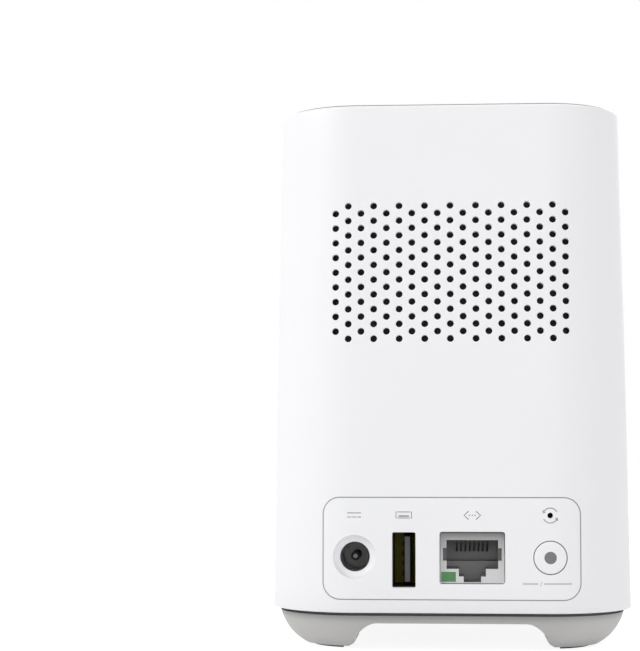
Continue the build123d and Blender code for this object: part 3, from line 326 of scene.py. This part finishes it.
def grained(name, colour, rough, metal=0.0, grain=0.35, height=0.01, tone=0.04, coat=0.0, shine=0.5):
    """A finish on object coordinates, of a fine noise with the grain's size in mm and a wide cloud.

    Half the noise plus half the cloud moves the colour by the share tone to both sides. The noise alone
    moves the roughness by its spread to both sides and raises the grain by its height in mm.
    """
    material = bpy.data.materials.new(name)
    material.use_nodes = True
    nodes, links = material.node_tree.nodes, material.node_tree.links
    shader = nodes["Principled BSDF"]
    place = nodes.new("ShaderNodeTexCoord")
    noise = nodes.new("ShaderNodeTexNoise")
    noise.inputs["Scale"].default_value = 1 / (grain * mm)
    noise.inputs["Detail"].default_value = 3
    cloud = nodes.new("ShaderNodeTexNoise")
    cloud.inputs["Scale"].default_value = 1 / cloud_wide
    for pattern in (noise, cloud):
        links.new(place.outputs["Object"], pattern.inputs["Vector"])
    half_cloud = nodes.new("ShaderNodeMath")
    half_cloud.operation = "MULTIPLY"
    half_cloud.inputs[1].default_value = 0.5
    links.new(cloud.outputs["Fac"], half_cloud.inputs[0])
    both = nodes.new("ShaderNodeMath")
    both.operation = "MULTIPLY_ADD"
    both.inputs[1].default_value = 0.5
    links.new(noise.outputs["Fac"], both.inputs[0])
    links.new(half_cloud.outputs[0], both.inputs[2])
    ramp = nodes.new("ShaderNodeValToRGB")
    for element, stop, share in zip(ramp.color_ramp.elements, (0.3, 0.7), (1 - tone, 1 + tone)):
        element.position = stop
        element.color = [c * share for c in colour] + [1]
    links.new(both.outputs[0], ramp.inputs["Fac"])
    links.new(ramp.outputs["Color"], shader.inputs["Base Color"])
    gloss = nodes.new("ShaderNodeMapRange")
    gloss.inputs["To Min"].default_value = rough - rough_spread
    gloss.inputs["To Max"].default_value = rough + rough_spread
    links.new(noise.outputs["Fac"], gloss.inputs["Value"])
    links.new(gloss.outputs["Result"], shader.inputs["Roughness"])
    bump = nodes.new("ShaderNodeBump")
    bump.inputs["Strength"].default_value = 1
    bump.inputs["Distance"].default_value = height * mm
    links.new(noise.outputs["Fac"], bump.inputs["Height"])
    links.new(bump.outputs["Normal"], shader.inputs["Normal"])
    shader.inputs["Metallic"].default_value = metal
    shader.inputs["Coat Weight"].default_value = coat
    shader.inputs["Specular IOR Level"].default_value = shine
    return material


def painted(material, *pieces):
    """Gives a finish to pieces, where the frame's own pieces are named by their nodes."""
    for piece in pieces:
        mesh = (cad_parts[piece] if isinstance(piece, str) else piece).data
        mesh.materials.clear()
        mesh.materials.append(material)


satin_white = dict(colour=(0.84, 0.84, 0.86), grain=0.3, height=0.004, tone=0.012, shine=0.35)
sleeve = build_sleeve()
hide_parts("outer_shell")
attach(sleeve, "station")
painted(grained("white_plastic", rough=0.42, **satin_white), sleeve, "outer_shell")

# Cap: the white plate let into the sleeve's rim, of the same plastic, with a fine gap all round and a softly
# broken edge. Ribs under it locate it and it is glued down. Its standing edge is painted dark grey below the
# top face, as painted shade along the seam, which shows as a fine grey line.
cap_gap = 0.12 * mm
cap_round = 0.3 * mm
cap_low_z = sleeve_top - cap_seat_depth
cap_high_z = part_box("top_cap")[1].z


def ringed(name, rings):
    """A closed body through rows of points, with a flat face at both ends. The rows run counter-clockwise
    seen from the last end."""
    rows = np.arange(len(rings) * len(rings[0])).reshape(len(rings), -1)
    sides = [bridge(a, b) for a, b in zip(rows, rows[1:])]
    return solid_mesh(name, np.concatenate(rings), sides + [rows[:1, ::-1], rows[-1:]])


def square_ring(reach, radius, z, steps=30):
    """A level rounded square about the Z axis, as far out as its reach, counter-clockwise seen from above."""
    x, y = boxed_outline(0, 0, 2 * reach, 2 * reach, radius, steps)(0)
    return np.stack([x, y, np.full(len(x), z)], 1)


def build_cap():
    """Rounded squares up the cap's side. Its upper edge is a quarter circle: drawn in by r (1 - cos a) and
    lower than the top by r (1 - sin a)."""
    reach = half - (sleeve_top - sleeve_bottom) * draft - rim_wall - cap_gap
    radius = reach - corner_place
    rings = [square_ring(reach, radius, cap_low_z)]
    for a in np.radians([0, 30, 60, 90]):
        drawn_in, drop = cap_round * (1 - math.cos(a)), cap_round * (1 - math.sin(a))
        rings.append(square_ring(reach - drawn_in, radius - drawn_in, cap_high_z - drop))
    return ringed("cap", rings)


def toned(name, tones, **look):
    """A grained finish whose colour is multiplied along axes. For each axis, tones gives (place in mm, share
    or colour) stops, and between two stops the share runs straight."""
    material = grained(name, **look)
    nodes, links = material.node_tree.nodes, material.node_tree.links
    base_colour = nodes["Principled BSDF"].inputs["Base Color"]
    tone = base_colour.links[0].from_socket
    split = nodes.new("ShaderNodeSeparateXYZ")
    links.new(nodes["Texture Coordinate"].outputs["Object"], split.inputs[0])
    for axis, stops in tones.items():
        first, last = stops[0][0], stops[-1][0]
        span = nodes.new("ShaderNodeMapRange")
        span.inputs["From Min"].default_value = first * mm
        span.inputs["From Max"].default_value = last * mm
        links.new(split.outputs[axis], span.inputs["Value"])
        shares = nodes.new("ShaderNodeValToRGB")
        while len(shares.color_ramp.elements) < len(stops):
            shares.color_ramp.elements.new(0.5)
        for element, (place, share) in zip(shares.color_ramp.elements, stops):
            element.position = (place - first) / (last - first)
            element.color = (*np.broadcast_to(share, 3).tolist(), 1)
        links.new(span.outputs["Result"], shares.inputs["Fac"])
        product = nodes.new("ShaderNodeMix")
        product.data_type = "RGBA"
        product.blend_type = "MULTIPLY"
        product.inputs["Factor"].default_value = 1
        links.new(tone, product.inputs["A"])
        links.new(shares.outputs["Color"], product.inputs["B"])
        tone = product.outputs["Result"]
    links.new(tone, base_colour)
    return material


cap = build_cap()
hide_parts("top_cap")
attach(cap, "station")
cap_face = cap_high_z / mm
# Painted shade: the cap's side is darkened to about a quarter of its colour up to just below the top face.
painted(toned("cap_plastic", {
    "Z": [(cap_low_z / mm, 0.22), (cap_face - 0.1, 0.25), (cap_face - 0.03, 1), (cap_face + 0.1, 1)],
}, rough=0.42, **satin_white), cap, "top_cap")

# Print: thin grey ink, pad-printed on the rear wall. A line runs round the sockets. Over them stand a
# direct-current sign, a picture of a plug and network chevrons; two arrows go round the reset pinhole and two
# plain bars lie under the button. Places are in millimetres across and up.
ink_proud = 0.02 * mm
ink_sunk = 0.06 * mm
ink_step = 0.8 * mm
panel_x, panel_z = 0.05, 23.85
panel_wide, panel_tall, panel_round = 59.5, 23.5, 3.9
current_places = (-24.0, -22.87, -21.74)
chevron_x, chevron_z = 4.9, 31.5
arrow_x, arrow_z, arrow_r = 22.8, 31.5, 1.72
bar_z = 15.85
thin, middling, bold = 0.2, 0.24, 0.36
corner_stops, arrow_stops, dot_sides = 13, 14, 16


def stroke(path, width, closed=False):
    """A ribbon of ink along a path of (x, z) places in mm, as the points and faces of a closed film.

    Each run of the path is divided evenly. The ribbon's edges lie half its width to both sides, square to
    the line from the place before to the place after, and its depth goes from proud of the wall into it.
    """
    path = np.array(path, float) * mm
    ends = np.concatenate([path, path[:1]]) if closed else path
    fine = []
    for a, b in zip(ends, ends[1:]):
        pieces = max(int(np.hypot(*(b - a)) / ink_step), 1)
        fine.append(a + (b - a) * np.arange(pieces)[:, None] / pieces)
    fine = np.concatenate(fine if closed else fine + [ends[-1:]])
    before, after = np.roll(fine, 1, 0), np.roll(fine, -1, 0)
    if not closed:
        before[0], after[-1] = fine[0], fine[-1]
    along = after - before
    along /= np.hypot(along[:, 0], along[:, 1])[:, None]
    side = np.stack([-along[:, 1], along[:, 0]], 1) * width * mm / 2
    points = []
    for edge, inset in ((side, -ink_proud), (-side, -ink_proud), (-side, ink_sunk), (side, ink_sunk)):
        x, z = (fine + edge).T
        points.append(np.stack([x, rear_y(x, z, inset), z], 1))
    rows = np.arange(4 * len(fine)).reshape(4, -1)
    runs = len(fine) if closed else len(fine) - 1
    faces = [bridge(b, a)[:runs] for a, b in zip(rows, np.roll(rows, -1, 0))]
    if not closed:
        faces.append(np.stack([rows[::-1, 0], rows[:, -1]]))
    return np.concatenate(points), faces


def dot(x, z, dia):
    """A round spot of ink: a circle proud of the wall, the same circle in the wall, and the side between."""
    xs, zs = round_outline(x * mm, z * mm, dia * mm, dot_sides)(0)
    points = [np.stack([xs, rear_y(xs, zs, inset), zs], 1) for inset in (-ink_proud, ink_sunk)]
    outer, inner = np.arange(2 * dot_sides).reshape(2, -1)
    return np.concatenate(points), [outer[None], inner[None, ::-1], bridge(inner, outer)]


def round_pinhole(radius, degrees):
    """Places round the reset pinhole: (x + r cos a, z + r sin a) for each angle a."""
    a = np.radians(degrees)
    return np.stack([arrow_x + radius * np.cos(a), arrow_z + radius * np.sin(a)], 1)


def inked(name, marks, material):
    """All marks as one piece of ink film: their points in a row, and their faces counted on."""
    faces, count = [], 0
    for points, blocks in marks:
        faces += [block + count for block in blocks]
        count += len(points)
    piece = solid_mesh(name, np.concatenate([points for points, _ in marks]), faces)
    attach(piece, "station")
    painted(material, piece)


panel_outline = boxed_outline(panel_x, panel_z, panel_wide, panel_tall, panel_round, corner_stops)
current_sign = [stroke([(-24.0, 32.0), (-20.8, 32.0)], thin)]
current_sign += [stroke([(x, 31.05), (x + 0.94, 31.05)], thin) for x in current_places]
plug_sign = [stroke([(-12.7, 30.85), (-9.1, 30.85), (-9.1, 32.25), (-12.7, 32.25)], thin, closed=True)]
plug_sign.append(stroke([(-12.1, 31.3), (-9.7, 31.3)], 0.34))
network_sign = []
for flip in (-1, 1):
    chevron = [(0.85, 0.95), (1.9, 0), (0.85, -0.95)]
    network_sign.append(stroke([(chevron_x + flip * x, chevron_z + z) for x, z in chevron], middling))
network_sign += [dot(chevron_x + x, chevron_z, 0.3) for x in (-0.66, 0, 0.66)]
reset_sign = []
for start in (28, 208):
    reset_sign.append(stroke(round_pinhole(arrow_r, np.linspace(start, start + 124, arrow_stops)), thin))
    head = round_pinhole(np.array([2.05, arrow_r, 1.36]), start + np.array([116, 133, 116]))
    reset_sign.append(stroke(head, 0.22))
caption = [stroke([(16.4, bar_z), (19.9, bar_z)], bold), stroke([(21.3, bar_z), (27.7, bar_z)], bold)]
caption.append(stroke([(20.4, bar_z - 0.45), (20.8, bar_z + 0.45)], 0.16))

ink_look = dict(rough=0.55, grain=0.2, height=0.004, tone=0.06)
ink_grey = grained("ink_grey", (0.26, 0.26, 0.27), **ink_look)
inked("panel_line", [stroke(np.stack(panel_outline(0), 1), middling, closed=True)], ink_grey)
inked("signs", current_sign + plug_sign + network_sign + reset_sign, ink_grey)
inked("caption_bars", caption, grained("pale_ink", (0.50, 0.50, 0.51), **ink_look))

# Button: the round white push button, moulded in the sleeve's plastic with a printed grey spot. Its face
# follows the sleeve's curved corner and stands a hair proud, with a softly rounded edge. It goes in from
# behind, and a flange keeps it in.
button_dia = 7.5 * mm
button_proud = 0.1 * mm
button_round = 0.35 * mm
button_face_dias = (5.6, 3.8, 2.0, 0.6)
button_deep = 4.85 * mm
flange_dia = 10.0 * mm
flange_wide = 1.0 * mm
stem_dia = 3.2 * mm
spot_dia = 2.85 * mm
spot_grey = (0.18, 0.18, 0.185)


def build_button():
    """Circles (x + r cos a, z + r sin a) from the stem's tip through flange and head to the middle of the
    face. The face lies on the wall's own curve, and its edge is a quarter circle."""
    a = np.arange(round_sides) / round_sides * 2 * math.pi

    def row(dia, y=None, drop=0.0):
        """A circle in a plane at Y, or on the face with a drop below it."""
        x, z = button_x + dia / 2 * np.cos(a), button_z + dia / 2 * np.sin(a)
        ys = rear_y(x, z, -button_proud) + drop if y is None else np.full(len(a), y)
        return np.stack([x, ys, z], 1)

    flange_y = rear_y(button_x, button_z) - button_proud + button_deep
    rows = [row(stem_dia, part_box("sync_button")[1].y), row(stem_dia, flange_y + flange_wide)]
    rows += [row(flange_dia, flange_y + flange_wide), row(flange_dia, flange_y), row(button_dia, flange_y)]
    for turn in np.radians([0, 22, 45, 67, 90]):
        drawn_in, drop = button_round * (1 - math.cos(turn)), button_round * (1 - math.sin(turn))
        rows.append(row(button_dia - 2 * drawn_in, drop=drop))
    return ringed("button", rows + [row(dia * mm) for dia in button_face_dias])


def spotted(name, x, z, dia, spot, **look):
    """A grained finish with a round spot of another colour, up to half the diameter from an axis along Y. The
    two colours mix over 0.04 mm to both sides of the spot's edge."""
    material = grained(name, **look)
    nodes, links = material.node_tree.nodes, material.node_tree.links
    base_colour = nodes["Principled BSDF"].inputs["Base Color"]
    level = nodes.new("ShaderNodeVectorMath")
    level.operation = "MULTIPLY"
    level.inputs[1].default_value = (1, 0, 1)
    links.new(nodes["Texture Coordinate"].outputs["Object"], level.inputs[0])
    reach = nodes.new("ShaderNodeVectorMath")
    reach.operation = "DISTANCE"
    reach.inputs[1].default_value = (x, 0, z)
    links.new(level.outputs[0], reach.inputs[0])
    outside = nodes.new("ShaderNodeMapRange")
    outside.inputs["From Min"].default_value = dia / 2 - 0.04 * mm
    outside.inputs["From Max"].default_value = dia / 2 + 0.04 * mm
    links.new(reach.outputs["Value"], outside.inputs["Value"])
    mix = nodes.new("ShaderNodeMix")
    mix.data_type = "RGBA"
    mix.inputs["A"].default_value = (*spot, 1)
    links.new(outside.outputs["Result"], mix.inputs["Factor"])
    links.new(base_colour.links[0].from_socket, mix.inputs["B"])
    links.new(mix.outputs["Result"], base_colour)
    return material


button = build_button()
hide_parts("sync_button")
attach(button, "button")
painted(spotted("button_plastic", button_x, button_z, spot_dia, spot_grey, rough=0.4, **satin_white),
        button, "sync_button")

# Dust mesh: black woven cloth behind the sound holes, cut flat and glued to the wall's inside by a thin line.
# It looks nearly black, dull and a little coarse.
painted(grained("mesh_cloth", (0.015, 0.015, 0.015), 0.85, grain=0.25, height=0.1, tone=0.4), "dust_mesh")

# Chassis: the dark inner moulding that carries the siren, the main board and the light board between two side
# plates. It is screwed to the base together with the sleeve.
painted(grained("frame_plastic", (0.10, 0.10, 0.11), 0.5, grain=0.4, height=0.01, tone=0.1), "inner_frame")

# Siren: a pressed black steel basket with its magnet, a paper cone with a copper coil on a foam ring, and a
# foam gasket that seals it to the mesh. Steel screws clamp it to the chassis.
black_steel = grained("black_steel", (0.04, 0.04, 0.04), 0.45, grain=0.3, height=0.01, tone=0.15)
magnet_dark = grained("magnet_dark", (0.15, 0.15, 0.16), 0.5, metal=1, grain=0.2, height=0.02, tone=0.2)
cone_paper = grained("cone_paper", (0.05, 0.05, 0.05), 0.8, grain=0.5, height=0.05, tone=0.3)
coil_copper = grained("coil_copper", (0.70, 0.36, 0.20), 0.35, metal=1, grain=0.15, height=0.03, tone=0.15)
soft_foam = grained("soft_foam", (0.04, 0.04, 0.045), 0.9, grain=0.5, height=0.12, tone=0.3)
screw_steel = grained("screw_steel", (0.55, 0.55, 0.56), 0.35, metal=1, grain=0.15, height=0.01, tone=0.1)
painted(black_steel, "siren_basket")
painted(magnet_dark, "siren_magnet")
painted(cone_paper, "siren_cone")
painted(coil_copper, "siren_coil")
painted(soft_foam, "siren_surround", "siren_gasket")
painted(screw_steel, "siren_screws")

# Main board: green laminate, screwed upright to the chassis' side plates, with black moulded chips, ferrite
# coils, capacitors in aluminium cans, plated sheet shields and two plated stamped antennas.
board_green = grained("board_green", (0.03, 0.20, 0.09), 0.3, grain=0.5, height=0.01, tone=0.15)
chip_black = grained("chip_black", (0.04, 0.04, 0.04), 0.5, grain=0.25, height=0.01, tone=0.15)
ferrite = grained("ferrite", (0.09, 0.09, 0.09), 0.6, grain=0.25, height=0.02, tone=0.2)
plated_metal = grained("plated_metal", (0.62, 0.61, 0.58), 0.3, metal=1, grain=0.2, height=0.01, tone=0.08)
fin_aluminium = grained("fin_aluminium", (0.72, 0.72, 0.73), 0.35, metal=1, grain=0.2, height=0.01, tone=0.06)
painted(board_green, "main_board")
painted(screw_steel, "board_screws")
painted(chip_black, "processor_chip", "memory_chips")
painted(ferrite, "power_coils")
painted(plated_metal, "radio_shields", "antennas")
painted(fin_aluminium, "capacitors")

# Heat spreader: extruded aluminium with fins, joined to the processor by a soft silicone pad that is cut from
# a sheet and sticks by itself.
painted(grained("pad_silicone", (0.35, 0.45, 0.55), 0.7, grain=0.4, height=0.02, tone=0.08), "thermal_pad")
painted(fin_aluminium, "heat_spreader")

# Power inlet: a barrel socket moulded in grey plastic and soldered to the board. Its colour is painted dark
# at its face, as painted shade where the sleeve shades it, and paler deeper in, as painted light in the bore.
# Its pin is painted nearly black as painted shade, with a grey spot on its tip as a painted highlight; a
# sprung sheet is the side contact.
jack_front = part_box("power_jack_body")[0].y / mm
# Painted shade at the face and painted light deeper in the bore, along Y.
painted(toned("inlet_moulding", {
    "Y": [(jack_front, 0.1), (jack_front + 0.5, 0.1), (jack_front + 3, 0.6), (jack_front + 10, 1)],
}, colour=(0.50, 0.50, 0.50), rough=0.5, grain=0.3, height=0.01), "power_jack_body")
# Painted shade and a painted highlight: a nearly black pin with a grey spot on its tip.
pin_highlight_dia = 1.0 * mm
painted(spotted("pin_shade_and_highlight", jack_x, jack_z, pin_highlight_dia, (0.22, 0.22, 0.22),
                colour=(0.012, 0.012, 0.012), rough=0.6, shine=0.1), "power_jack_pin")
painted(plated_metal, "power_jack_spring")

# Data port: an upright shell folded from sheet and soldered to the board, with a moulded tongue inside. The
# tongue's end is painted grey as painted light, its sides and contacts are painted nearly black as painted
# shade, and the block behind is olive. The shell is painted a dark olive as painted shade.
tongue_low, tongue_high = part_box("data_port_tongue")
tongue_front = tongue_low.y / mm
block_front = tongue_high.y / mm - 4.0
block_olive = (0.30, 0.26, 0.04)
# Painted light on the tongue's end and painted shade on its sides, along Y.
painted(toned("tongue_end", {
    "Y": [(tongue_front, 0.13), (tongue_front + 0.02, 0.13), (tongue_front + 0.06, 0.01),
          (block_front - 0.1, 0.01), (block_front - 0.05, block_olive), (block_front + 4, block_olive)],
}, colour=(1, 1, 1), rough=0.6, grain=0.3, height=0.01, tone=0, shine=0.2), "data_port_tongue")
# Painted shade: the sheet shell and the contacts are painted nearly black.
painted(grained("olive_shell", (0.05, 0.045, 0.02), 0.6, shine=0.2), "data_port_shell")
painted(grained("dark_contact", (0.01, 0.009, 0.006), 0.6, shine=0.1), "data_port_contacts")

# Network socket: a grey moulded block on the board, with a stepped opening and eight sprung wires. Its inside
# is painted darker than its rim, darkest just behind the face and at the top, as painted shade under the
# sleeve's edge. A green lens fills a low corner.
net_low, net_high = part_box("network_jack_body")
net_front, net_top = net_low.y / mm, net_high.z / mm
# Painted shade along Y just behind the face and along Z towards the top.
painted(toned("network_moulding", {
    "Y": [(net_front, 1), (net_front + 0.05, 1), (net_front + 0.12, 0.3), (net_front + 3, 0.34),
          (net_front + 8, 0.7), (net_front + 13, 0.8)],
    "Z": [(net_low.z / mm, 1), (net_top - 6, 0.88), (net_top - 1.6, 0.56), (net_top - 0.35, 0.36),
          (net_top, 0.15)],
}, colour=(0.62, 0.62, 0.62), rough=0.45, grain=0.3, height=0.01), "network_jack_body")
painted(grained("dull_contact", (0.035, 0.033, 0.028), 0.5, shine=0.2), "network_jack_contacts")
painted(grained("green_lens", (0.050, 0.205, 0.052), 0.2, grain=0.5, height=0.004, tone=0.15, coat=0.3),
        "network_light")

# Switches: two small black moulded switches on the board, one behind the button and one behind the pinhole,
# each with a plunger that a dome springs back.
painted(grained("socket_black", (0.045, 0.045, 0.047), 0.4, grain=0.3, height=0.01, tone=0.15),
        "sync_switch_body", "sync_switch_plunger", "reset_switch_body", "reset_switch_plunger")

# Front light: a little board with lamps behind a milky lens, screwed to the chassis. A film with copper
# tracks runs to it along the side plate, from a cream plug on the main board.
painted(board_green, "light_board")
painted(screw_steel, "light_board_screws")
painted(grained("led_yellow", (0.85, 0.78, 0.40), 0.3, grain=0.4, height=0.01, tone=0.06), "status_leds")
painted(grained("milky_lens", (0.82, 0.84, 0.86), 0.25, grain=0.5, height=0.003, tone=0.03, coat=0.2),
        "status_lens")
painted(grained("plug_cream", (0.80, 0.76, 0.66), 0.45, grain=0.3, height=0.01, tone=0.05), "flex_plug")
painted(grained("flex_film", (0.60, 0.32, 0.10), 0.25, grain=0.5, height=0.005, tone=0.08), "light_flex")

# Base: the grey bowl that the sleeve stands on, of satin plastic, with an arch in each side that leaves four
# feet. A groove parts it from the sleeve, which shades its shoulder; its colour is painted darker up towards
# the shoulder and darkest in the groove, as painted shade. It is moulded in one piece and is held by four
# screws from below.
tub_low, tub_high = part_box("base_tub")
tub_half = tub_high.x
tub_shoulder_z = sleeve_bottom - 0.3 * mm
tub_lip_z = tub_shoulder_z + 0.25 * mm
tub_foot_z = tub_low.z + 0.25 * mm
tub_foot_inset = 6.0 * mm
tub_bow = 1.0 * mm
groove_tall = 0.45 * mm
groove_deep = 0.9 * mm
arch_side = [(24.1, -1.0), (24.1, 0.55), (22.9, 1.3), (22.4, 2.0), (22.25, 3.05), (21.6, 3.95), (20.6, 4.95),
             (19.6, 5.7), (18.45, 6.25), (17.5, 6.4)]


def bowed_side():
    """Reach and height up the bowl's side: a straight chord plus a bow of 4 b t (1 - t) square to it, kept
    within the bowl's reach and above its foot."""
    run = tub_foot_inset
    rise = tub_shoulder_z - groove_tall - tub_foot_z
    chord = math.hypot(run, rise)
    t = np.linspace(0, 1, 17)
    bow = 4 * tub_bow * t * (1 - t)
    reach = np.minimum(tub_half - run + run * t + bow * rise / chord, tub_half)
    return zip(reach, np.maximum(tub_foot_z + rise * t - bow * run / chord, tub_foot_z))


def build_tunnel(name, turn):
    """The space under one pair of arches: their outline carried straight along Y, or along X when turned. The
    outline is the arch's side, mirrored and joined."""
    x, z = np.array([(-x, z) for x, z in arch_side] + arch_side[::-1]).T * mm
    rings = []
    for y in (-half, half):
        along = np.full(len(x), y)
        rings.append(np.stack([-along, x, z] if turn else [x, along, z], 1))
    return ringed(name, rings)


def carved(body, cutters):
    """The body less the cutters, as one plain mesh; the cutters are removed."""
    for cutter in cutters:
        cut = body.modifiers.new(cutter.name, "BOOLEAN")
        cut.operation = "DIFFERENCE"
        cut.solver = "EXACT"
        cut.object = cutter
    bpy.context.view_layer.update()
    result = bpy.data.meshes.new_from_object(body.evaluated_get(bpy.context.evaluated_depsgraph_get()))
    body.modifiers.clear()
    body.data = result
    for cutter in cutters:
        bpy.data.objects.remove(cutter)
    smoothed(result)
    return body


def build_tub():
    """The bowl of level rounded squares up the bowed side, with a narrower lip as the groove, less the two
    tunnels under the arches."""
    rings = [square_ring(reach, reach - corner_place, z, 24) for reach, z in bowed_side()]
    lip = tub_half - groove_deep
    rings += [square_ring(lip, lip - corner_place, z, 24) for z in (tub_shoulder_z - groove_tall, tub_lip_z)]
    return carved(ringed("base", rings), [build_tunnel("tunnel_a", False), build_tunnel("tunnel_b", True)])


base = build_tub()
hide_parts("base_tub")
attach(base, "station")
# Painted shade: the colour darkens from the feet up to the shoulder and is darkest in the groove under the
# sleeve.
painted(toned("base_plastic", {
    "Z": [(0, 1), (3, 0.97), (5.5, 0.90), (6.5, 0.86), (7.2, 0.75), (8.15, 0.55), (8.25, 0.25), (9, 0.25)],
}, colour=(0.58, 0.575, 0.565), rough=0.5, grain=0.3, height=0.006, tone=0.03, shine=0.3), base, "base_tub")

# Base screws and pads: four steel screws hold base, chassis and sleeve together, and four black rubber pads,
# let into the feet and glued, hide them.
painted(screw_steel, "base_screws")
painted(grained("black_rubber", (0.03, 0.03, 0.03), 0.75, grain=0.4, height=0.03, tone=0.2), "foot_pads")

# Stage: a plain pale floor in a white surround. Both show as white to the camera, in gloss and through clear
# things, and light the object at a lower level.
floor_size = 6
floor_drop = 0.05 * mm
floor_lit, floor_seen, floor_glow = 0.92, 0.24, 0.9
surround_lit, surround_seen = 0.50, 1.0


def white_to_view(tree, lit, seen, output):
    """Gives a surface the seen shader for camera, glossy and transmission rays, by the largest of their three
    shares, and the lit shader for all others."""
    nodes, links = tree.nodes, tree.links
    path = nodes.new("ShaderNodeLightPath")
    share = path.outputs["Is Camera Ray"]
    for kind in ("Is Glossy Ray", "Is Transmission Ray"):
        larger = nodes.new("ShaderNodeMath")
        larger.operation = "MAXIMUM"
        links.new(share, larger.inputs[0])
        links.new(path.outputs[kind], larger.inputs[1])
        share = larger.outputs[0]
    pick = nodes.new("ShaderNodeMixShader")
    links.new(share, pick.inputs["Fac"])
    links.new(lit.outputs[0], pick.inputs[1])
    links.new(seen.outputs[0], pick.inputs[2])
    links.new(pick.outputs[0], nodes[output].inputs["Surface"])


bpy.ops.mesh.primitive_plane_add(size=floor_size, location=(0, 0, -floor_drop))
floor = bpy.context.object
floor.name = "floor"
floor_finish = bpy.data.materials.new("floor")
floor_finish.use_nodes = True
nodes, links = floor_finish.node_tree.nodes, floor_finish.node_tree.links
nodes.remove(nodes["Principled BSDF"])
lit = nodes.new("ShaderNodeBsdfDiffuse")
lit.inputs["Color"].default_value = (floor_lit, floor_lit, floor_lit, 1)
seen = nodes.new("ShaderNodeBsdfDiffuse")
seen.inputs["Color"].default_value = (floor_seen, floor_seen, floor_seen, 1)
glow = nodes.new("ShaderNodeEmission")
glow.inputs["Strength"].default_value = floor_glow
both = nodes.new("ShaderNodeAddShader")
links.new(seen.outputs[0], both.inputs[0])
links.new(glow.outputs[0], both.inputs[1])
white_to_view(floor_finish.node_tree, lit, both, "Material Output")
floor.data.materials.append(floor_finish)

world = bpy.data.worlds.new("studio")
bpy.context.scene.world = world
world.use_nodes = True
lit = world.node_tree.nodes["Background"]
seen = world.node_tree.nodes.new("ShaderNodeBackground")
for background, strength in ((lit, surround_lit), (seen, surround_seen)):
    background.inputs["Color"].default_value = (1, 1, 1, 1)
    background.inputs["Strength"].default_value = strength
white_to_view(world.node_tree, lit, seen, "World Output")

# Lamps: five soft round lamps, as in a small studio. Seen from the rear, the key stands high at the left and
# the fill lower at the right. One hangs overhead, one lights the far side, and a weak one reaches the arches.
aim = (0, 0, 0.065)
lamps = {
    "key": ((-0.85, -0.5, 0.7), aim, 0.6, 6.45),
    "fill": ((0.85, -0.55, 0.35), aim, 0.9, 2.7),
    "top": ((0.1, 0.3, 1.1), aim, 0.8, 2.5),
    "far": ((0.3, 1.0, 0.5), aim, 0.7, 2.0),
    "low": ((0.0, -1.0, 0.05), (0, 0, 0), 0.4, 0.35),
}


def soft_lamp(name, place, target, size, power):
    """A round lamp of a size in metres and a power in watts, turned so that its -Z points at the target."""
    data = bpy.data.lights.new(name, "AREA")
    data.shape = "DISK"
    data.size = size
    data.energy = power
    lamp = bpy.data.objects.new(name, data)
    lamp.location = place
    lamp.rotation_mode = "QUATERNION"
    lamp.rotation_quaternion = (Vector(target) - Vector(place)).to_track_quat("-Z", "Y")
    bpy.context.collection.objects.link(lamp)


for name, setting in lamps.items():
    soft_lamp(name, *setting)

# Camera: at the photograph's place behind the station, a little above the sockets, tilted up and turned to
# the left by a few degrees.
camera_place = (0.0005, -0.43361, 0.04683)
camera_tilt_deg, camera_turn_deg = 3.084, 3.626
camera_data = bpy.data.cameras.new("camera")
camera_data.lens = 93.14
camera_data.sensor_width = 36
camera_data.shift_x = -0.04
camera_data.shift_y = 0.05
camera_data.clip_start = 0.01
camera = bpy.data.objects.new("camera", camera_data)
camera.location = camera_place
camera.rotation_euler = (math.radians(90 + camera_tilt_deg), 0, math.radians(camera_turn_deg))
bpy.context.collection.objects.link(camera)
bpy.context.scene.camera = camera
bpy.context.scene.view_settings.view_transform = "Standard"
